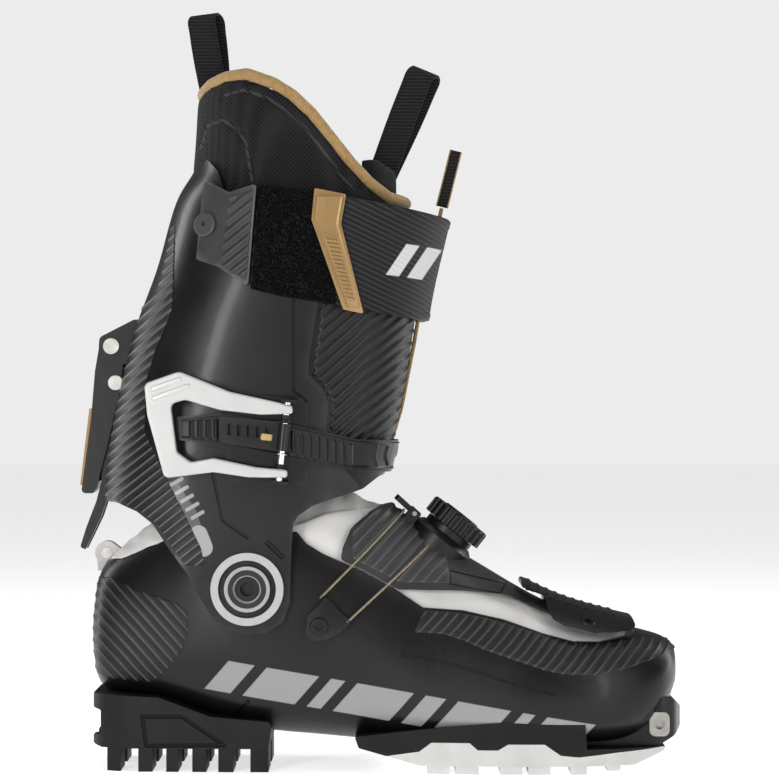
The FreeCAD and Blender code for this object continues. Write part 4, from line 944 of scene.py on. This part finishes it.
def remeshed(node, name, voxel, rounds):
    """Evenly meshed copy of a CAD solid, smoothed a little."""
    obj = bpy.data.objects.new(name, NODES[node].data.copy())
    bpy.context.collection.objects.link(obj)
    remesh = obj.modifiers.new("remesh", "REMESH")
    remesh.mode = "VOXEL"
    remesh.voxel_size = voxel
    obj.modifiers.new("smooth", "SMOOTH").iterations = rounds
    apply_modifiers(obj)
    return obj


def padded_copy(node, name, material, voxel, cap):
    """Closed padded piece in the place of a CAD solid, swollen by a short cloth simulation."""
    obj = remeshed(node, name, voxel, 4)
    swell(obj, cap)
    finer = obj.modifiers.new("finer", "SUBSURF")
    finer.levels = 1
    apply_modifiers(obj)
    dress(obj, material)
    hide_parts(node)
    return obj


def swell(obj, cap, frames=16):
    """Blow the piece up as pressurised cloth, and let no point move further than cap."""
    rest = coordinates(obj.data)
    cloth = obj.modifiers.new("cloth", "CLOTH")
    cloth.settings.use_pressure = True
    cloth.settings.uniform_pressure_force = 4
    cloth.settings.effector_weights.gravity = 0
    cloth.settings.quality = 4
    cloth.point_cache.frame_start, cloth.point_cache.frame_end = 1, frames
    for frame_number in range(1, frames + 1):
        bpy.context.scene.frame_set(frame_number)
    apply_modifiers(obj)
    move = coordinates(obj.data) - rest
    length = np.linalg.norm(move, axis=1, keepdims=True)
    place(obj.data, rest + move * np.minimum(1, cap / np.maximum(length, 1e-9)))
    bpy.context.scene.frame_set(1)


def coordinates(mesh):
    flat = np.zeros(len(mesh.vertices) * 3)
    mesh.vertices.foreach_get("co", flat)
    return flat.reshape(-1, 3)


def place(mesh, points):
    mesh.vertices.foreach_set("co", points.reshape(-1))
    mesh.update()


def distance_to(path, x, z):
    """Distance in the side view from points to a polyline of (x, z) in millimetres."""
    best = np.full(x.shape, 1e9)
    for (ax, az), (bx, bz) in zip(path, path[1:]):
        ax, az, bx, bz = ax * MM, az * MM, bx * MM, bz * MM
        t = np.clip(((x - ax) * (bx - ax) + (z - az) * (bz - az)) / ((bx - ax) ** 2 + (bz - az) ** 2), 0, 1)
        best = np.minimum(best, np.hypot(x - ax - t * (bx - ax), z - az - t * (bz - az)))
    return best


liner = padded_copy("liner_shaft", "liner_shaft_padding", make["mesh"], 0.0036, 0.0016)
points = coordinates(liner.data)
outward = points - np.array([-0.042, 0, 0])
outward[:, 2] = 0
reach = np.linalg.norm(outward, axis=1)
outward /= reach[:, None]
groove = np.zeros(len(points))
for path, depth in ((ACHILLES_SEAM, 0.0014), (RIM_SEAM, 0.0010)):
    groove = np.maximum(groove, hump(distance_to(path, points[:, 0], points[:, 2]), 0.0026) * depth)
outer = np.array([v.normal.dot(Vector(o)) > 0.3 for v, o in zip(liner.data.vertices, outward)])
place(liner.data, points - outward * (groove * outer)[:, None])
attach(liner, "cuff")

tongue = padded_copy("liner_tongue", "liner_tongue_padding", make["lining"], 0.003, 0.0014)
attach(tongue, "cuff")
boot_lining = padded_copy("liner_foot", "liner_foot_padding", make["lining"], 0.0042, 0.0008)
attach(boot_lining, "clog")


def tube(name, path, radii, material, body, sides=14):
    """Closed tube along a path of points, with one (across, high) pair of radii, held upright."""
    path = np.array([tuple(p) for p in path])
    across, high = path_frame(path, (0, 0, 1))
    verts = [path[i] + across[i] * radii[0] * math.cos(a) + high[i] * radii[1] * math.sin(a)
             for i in range(len(path)) for a in np.arange(sides) * 2 * math.pi / sides]
    return swept(name, verts, sides, material, body)


piping_tree = tree_of("liner_piping")
rim_height = curve_of([(-96, 338), (-88, 343.5), (-80, 346), (-69, 347), (-55, 342), (-45, 336), (-35, 327),
                       (-25, 315),
                       (-15, 303), (-5, 293), (5, 286), (30, 282)])
middle_line, last_x = [], -0.09
for angle in np.arange(-180, 180, 1.5):
    x = last_x
    for _ in range(6):
        origin, direction = next(horizontal_rays((-0.042, 0), rim_height(x) + 0.0018, [angle]))
        outer_hit = piping_tree.ray_cast(origin, direction, 0.3)[0]
        if outer_hit is None:
            break
        x = 0.5 * (x + outer_hit.x)
    if outer_hit is None:
        continue
    last_x = x
    inward = (Vector((-0.042, 0, 0)) - Vector((outer_hit.x, outer_hit.y, 0))).normalized()
    middle_line.append(outer_hit + inward * 0.0026 - Vector((0, 0, 0.0012)))
path = resampled(middle_line + middle_line[:1], 260)
piping = tube("liner_piping_knit", path, (0.0031, 0.0030), make["piping"], "cuff")
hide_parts("liner_piping")


def ribbon(name, path, wide, width, thickness, material, body, node):
    """Flat webbing along a path, width along the direction wide, with soft edges."""
    path = np.array([tuple(p) for p in path])
    wide = np.array(wide) / np.linalg.norm(wide)
    normal = unit(np.cross(wide, unit(np.gradient(path, axis=0))))
    half, thin = width / 2, thickness / 2
    face = [(half * share, -thin) for share in (-0.94, -0.5, 0, 0.5, 0.94)]
    lower = [(-half, -thin * 0.4), *face, (half, -thin * 0.4)]
    outline = lower + [(-u, -v) for u, v in lower]
    verts = [path[i] + wide * u + normal[i] * v for i in range(len(path)) for u, v in outline]
    obj = swept(name, verts, len(outline), material, body)
    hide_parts(node)
    return obj


def loop_path(foot, lean_degrees, height, half_spread, twist=0.5):
    """Inverted U in the plane of Y and the leaning vertical, its legs a little bowed and its top twisted."""
    lean = math.radians(lean_degrees)
    up = np.array([math.sin(lean), 0, math.cos(lean)])
    straight = height - half_spread

    def spot(run, y):
        return np.array(foot) * MM + up * run + np.array([y * twist * min(1, run / straight), y, 0])

    legs = [(t * straight, half_spread * (0.78 + 0.22 * math.sin(math.pi * min(1, t * 1.1))))
            for t in np.linspace(0, 1, 26)]
    radius = legs[-1][1]
    arc = [spot(straight + radius * math.sin(a), -radius * math.cos(a)) for a in np.linspace(0.1,
                                                                                             math.pi - 0.1,
                                                                                             14)]
    path = [spot(run, -y) for run, y in legs] + arc + [spot(run, y) for run, y in reversed(legs)]
    return path, (math.cos(lean), 0, -math.sin(lean))


for node, foot, lean, height in (("rear_pull_loop", (-84.2, 0, 332.6), -7.5, 0.0502),
                                 ("front_pull_loop", (-2.2, 0, 295.2), 22.5, 0.0634)):
    path, wide = loop_path(foot, lean, height, 0.0058)
    ribbon(f"{node}_webbing", path, wide, 0.014, 0.0016, make["webbing"], "cuff", node)

tab_lean = math.radians(14)
tab_up = np.array([math.sin(tab_lean), 0, math.cos(tab_lean)])
tab_wide = np.array([math.cos(tab_lean), 0, -math.sin(tab_lean)])
tab_middle = np.array([33.4, 0, 297]) * MM
tab_path = [tab_middle + tab_up * t + np.array([0, 0.0006 * math.sin(t * 150),
                                                0]) for t in np.linspace(-0.0138, 0.0158, 24)]
ribbon("release_tab_webbing", tab_path, tab_wide, 0.0052, 0.0015, make["webbing"], "cuff",
       "release_tab")
for i, shift in enumerate((-0.0026, 0.0026)):
    edge = [p + tab_wide * shift for p in tab_path]
    tube(f"release_tab_edge_{i}", edge, (0.0006, 0.0006), make["gold_cord"], "cuff", sides=8)

# ================================================================ gaiter and heel collar
bellows_top = curve_of([(-60, 150), (-35, 142), (-18, 139.5), (-5, 134), (4, 128.5), (9, 124)])


def superellipse(half, up, n, degrees):
    """Points (across, up) on a superellipse of power n."""
    points = []
    for angle in degrees:
        c, s = math.cos(math.radians(angle)), math.sin(math.radians(angle))
        points.append((-half * math.copysign(abs(c) ** (2 / n), c), up * abs(s) ** (2 / n)))
    return points


def from_axis(p):
    """Direction away from a line along the foot, 60 mm above the floor."""
    return np.array([0.0, p[1], p[2] - 0.06])


rows = []
for x in np.arange(-0.052, 0.0025, 0.001):
    high = bellows_top(x) - 0.0608
    rows.append([Vector((x, y, 0.06 + up)) for y,
                 up in superellipse(0.0385, high, 2.3, np.linspace(30, 150, 90))])


def folds(x, z, u, v):
    """Soft creases that fade at the lower edge."""
    return 0.0006 * np.sin(v * 26 + u * 5) * np.clip(v * 5, 0, 1)


bellows = skin_object("inner_bellows", grid_from_rows(rows, 110), folds, make["white"], "clog", from_axis)
thicken(bellows, 0.0009)

gaiter_tree = tree_of("instep_gaiter")
gaiter_rows = [cast_row(gaiter_tree, section_rays(x, (0.002, 0.05), np.linspace(-5, 185, 360)), anywhere)
               for x in np.arange(-0.0485, 0.1325, 0.0012)]
gaiter_grid = grid_from_rows(gaiter_rows, 170)


def gaiter_relief(x, z, u, v):
    """Soft pulls that run along the strip and fade at its edges."""
    edge = np.clip(np.minimum(u, 1 - u) / 0.08, 0, 1)
    return edge * (0.00025 * np.sin(v * 31 + 4 * np.sin(u * 7)) + 0.0002 * np.sin(u * 45 + v * 9))


gaiter = skin_object("instep_gaiter_fabric", gaiter_grid, gaiter_relief, make["white"], "clog",
                     from_axis, sink=0.0002)
thicken(gaiter, 0.0011)
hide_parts("instep_gaiter")


def soft_copy(node, name, material, voxel, relief):
    """Closed fabric piece in the place of a CAD solid, pushed along its normals by relief(x, y, z)."""
    obj = remeshed(node, name, voxel, 3)
    dress(obj, material)
    points = coordinates(obj.data)
    normals = np.array([tuple(v.normal) for v in obj.data.vertices])
    place(obj.data, points + normals * relief(*points.T)[:, None])
    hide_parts(node)
    return obj


collar = soft_copy("heel_collar", "heel_collar_fabric", make["white"], 0.0009,
                   lambda x, y, z: 0.00025 * np.sin(x * 420 + z * 600) * np.cos(y * 260))
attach(collar, "clog")

for i, column in enumerate((0, -1)):
    edge = gaiter_grid[:, column]
    tube(f"instep_gaiter_edge_{i}", resampled([Vector(p) for p in edge[4:-4]], 200), (0.0005, 0.0005),
         make["piping"], "clog", sides=8)


# ================================================================ wires and cord
def taut_wire(tree, start, stop, side, clear):
    """Line between two (x, z) points of the side view, pulled taut over what it lies on."""
    steps = np.linspace(0, 1, 40)
    over = [Vector((start[0] + (stop[0] - start[0]) * t, 0, start[1] + (stop[1] - start[1]) * t)) * MM
            for t in steps]
    out = Vector((0, side, 0))
    reach = []
    for t, point in zip(steps, over):
        hit = tree.ray_cast(point + out * 0.2, -out, 0.2)[0]
        if hit is not None:
            reach.append((t, abs(hit.y) + (clear if 0 < t < 1 else -0.0004)))
    hull = []
    for point in reach:
        while len(hull) > 1 and ((hull[-1][1] - hull[-2][1]) * (point[0] - hull[-2][0])
                                 <= (point[1] - hull[-2][1]) * (hull[-1][0] - hull[-2][0])):
            hull.pop()
        hull.append(point)
    ts, ys = zip(*hull)
    return np.array([(p.x, side * np.interp(t, ts, ys), p.z) for t, p in zip(steps, over)])


def rope(name, line, radius, strands, lay, material, body, sides=24):
    """Closed cord of twisted strands that turn once in lay."""
    length = np.linalg.norm(np.diff(line, axis=0), axis=1).sum()
    path = resampled([Vector(p) for p in line], max(12, int(length / lay * 9)))
    across, high = path_frame(path, (0.3, 1, 0.1))
    verts = []
    for i, point in enumerate(path):
        turn = 2 * math.pi * length * i / (len(path) - 1) / lay
        for k in range(sides):
            a = 2 * math.pi * k / sides
            r = radius * (0.8 + 0.2 * abs(math.cos((strands * a - turn) / 2)))
            verts.append(point + across[i] * r * math.cos(a) + high[i] * r * math.sin(a))
    return swept(name, verts, sides, material, body)


wire_tree = tree_of("lower_shell", "instep_flap", "lace_guide_lateral", "lace_guide_medial")
for side, name in ((-1, "lateral"), (1, "medial")):
    for i, (start, stop) in enumerate((((11, 129.3), (-31, 87.2)), ((26, 114.6), (-17.6, 75.5)))):
        line = taut_wire(wire_tree, start, stop, side, 0.0014)
        wire = rope(f"lace_wire_{name}_{i}", line, 0.0006, 6, 0.005, make["lace"], "clog")
        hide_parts("lace")
RELEASE_LINE = np.array([(29.9, 0, 283), (26.4, 0, 267.5), (25.2, 0, 262.5), (20.3, 0, 239.5),
                         (19.2, 0, 234.5),
                         (15.7, 0, 213.2), (14.4, 0, 207), (10.0, 0, 184.5), (9, 0, 180), (4.8, 0, 166.3),
                         (4.1, 0, 161), (2.9, 0, 152)]) * MM
line_cord = rope("release_cord_braid", RELEASE_LINE, 0.00105, 8, 0.008, make["gold_cord"], "cuff")
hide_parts("release_cord")



def block(name, centre, size, bevel, material, body, lean):
    """Block with rounded edges, turned by lean about Y. Centre, size and bevel are in millimetres."""
    obj = add_object(name, [], [], material)
    bm = bmesh.new()
    bmesh.ops.create_cube(bm, size=1)
    bmesh.ops.scale(bm, vec=Vector(size) * MM, verts=bm.verts)
    bmesh.ops.bevel(bm, geom=bm.edges[:], offset=bevel * MM, segments=3, affect="EDGES")
    bmesh.ops.rotate(bm, cent=(0, 0, 0), matrix=Matrix.Rotation(lean, 3, "Y"), verts=bm.verts)
    bmesh.ops.translate(bm, vec=Vector(centre) * MM, verts=bm.verts)
    bm.to_mesh(obj.data)
    bm.free()
    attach(obj, body)


# The brass block on the latch plate.
block("latch_brass_block", (-57, -58.0, 167.2), (5.6, 1.6, 3.2), 0.4, make["brass"], "buckle_latch", 0.12)


def turned(name, base, axis, profile, material, body, count=36):
    """Closed turned piece about an axis from base, from (distance, radius) pairs in millimetres."""
    axis = Vector(axis).normalized()
    side = axis.orthogonal().normalized()
    other = axis.cross(side)
    angles = [2 * math.pi * i / count for i in range(count)]
    verts = [Vector(base) + (axis * run + (side * math.cos(a) + other * math.sin(a)) * radius) * MM
             for run, radius in profile for a in angles]
    return swept(name, verts, count, material, body)


# Hinge sleeves on the buckle's axle, between the lever's arms and the strap.
BUCKLE_AXLE = Vector((-49, -56.6, 165)) * MM
for name, low, high in (("upper", 9.1, 13.2), ("lower", -13.6, -11.1)):
    middle = (low + high) / 2
    turned(f"buckle_sleeve_{name}", BUCKLE_AXLE, (0.1104, 0, 0.9939),
           [(low, 2.1), (low + 0.3, 2.5), (middle - 0.3, 2.5), (middle - 0.2, 2.2), (middle + 0.2, 2.2),
            (middle + 0.3, 2.5), (high - 0.3, 2.5), (high, 2.1)], make["black_metal"], "cuff")

# Cap of the dial: a raised disc with a rim and a dished middle.
DIAL_AXIS = Vector((0.619779, 0, 0.784776))
DIAL_FOOT = Vector((31.5, 0, 115.5)) * MM
dial_top = max((v.co - DIAL_FOOT).dot(DIAL_AXIS) for v in NODES["dial_knob"].data.vertices) / MM
turned("dial_cap", DIAL_FOOT, DIAL_AXIS,
       [(dial_top - 0.6, 10.0), (dial_top + 0.3, 10.0), (dial_top + 0.7, 9.6), (dial_top + 0.7, 8.4),
        (dial_top + 0.2, 7.8), (dial_top + 0.2, 5.4), (dial_top + 0.6, 5.0), (dial_top + 0.7, 3.0)],
       make["trim"], "dial", 60)

# Small bars across the top of the toe clip.
clip_tree = tree_of("toe_clip")
clip_rows = [cast_row(clip_tree, section_rays(x, (0, 0.04), np.linspace(66, 114, 60)), anywhere)
             for x in np.arange(0.072, 0.118, 0.0005)]
skin_object("toe_clip_bars", grid_from_rows(clip_rows, 60),
            lambda x, z, u, v: 0.0002 + 0.0005 * hump(((x - 0.072) % 0.0046) - 0.0023, 0.0013), make["trim"],
            "clog",
            lambda p: np.array([0.0, 0.0, 1.0]))
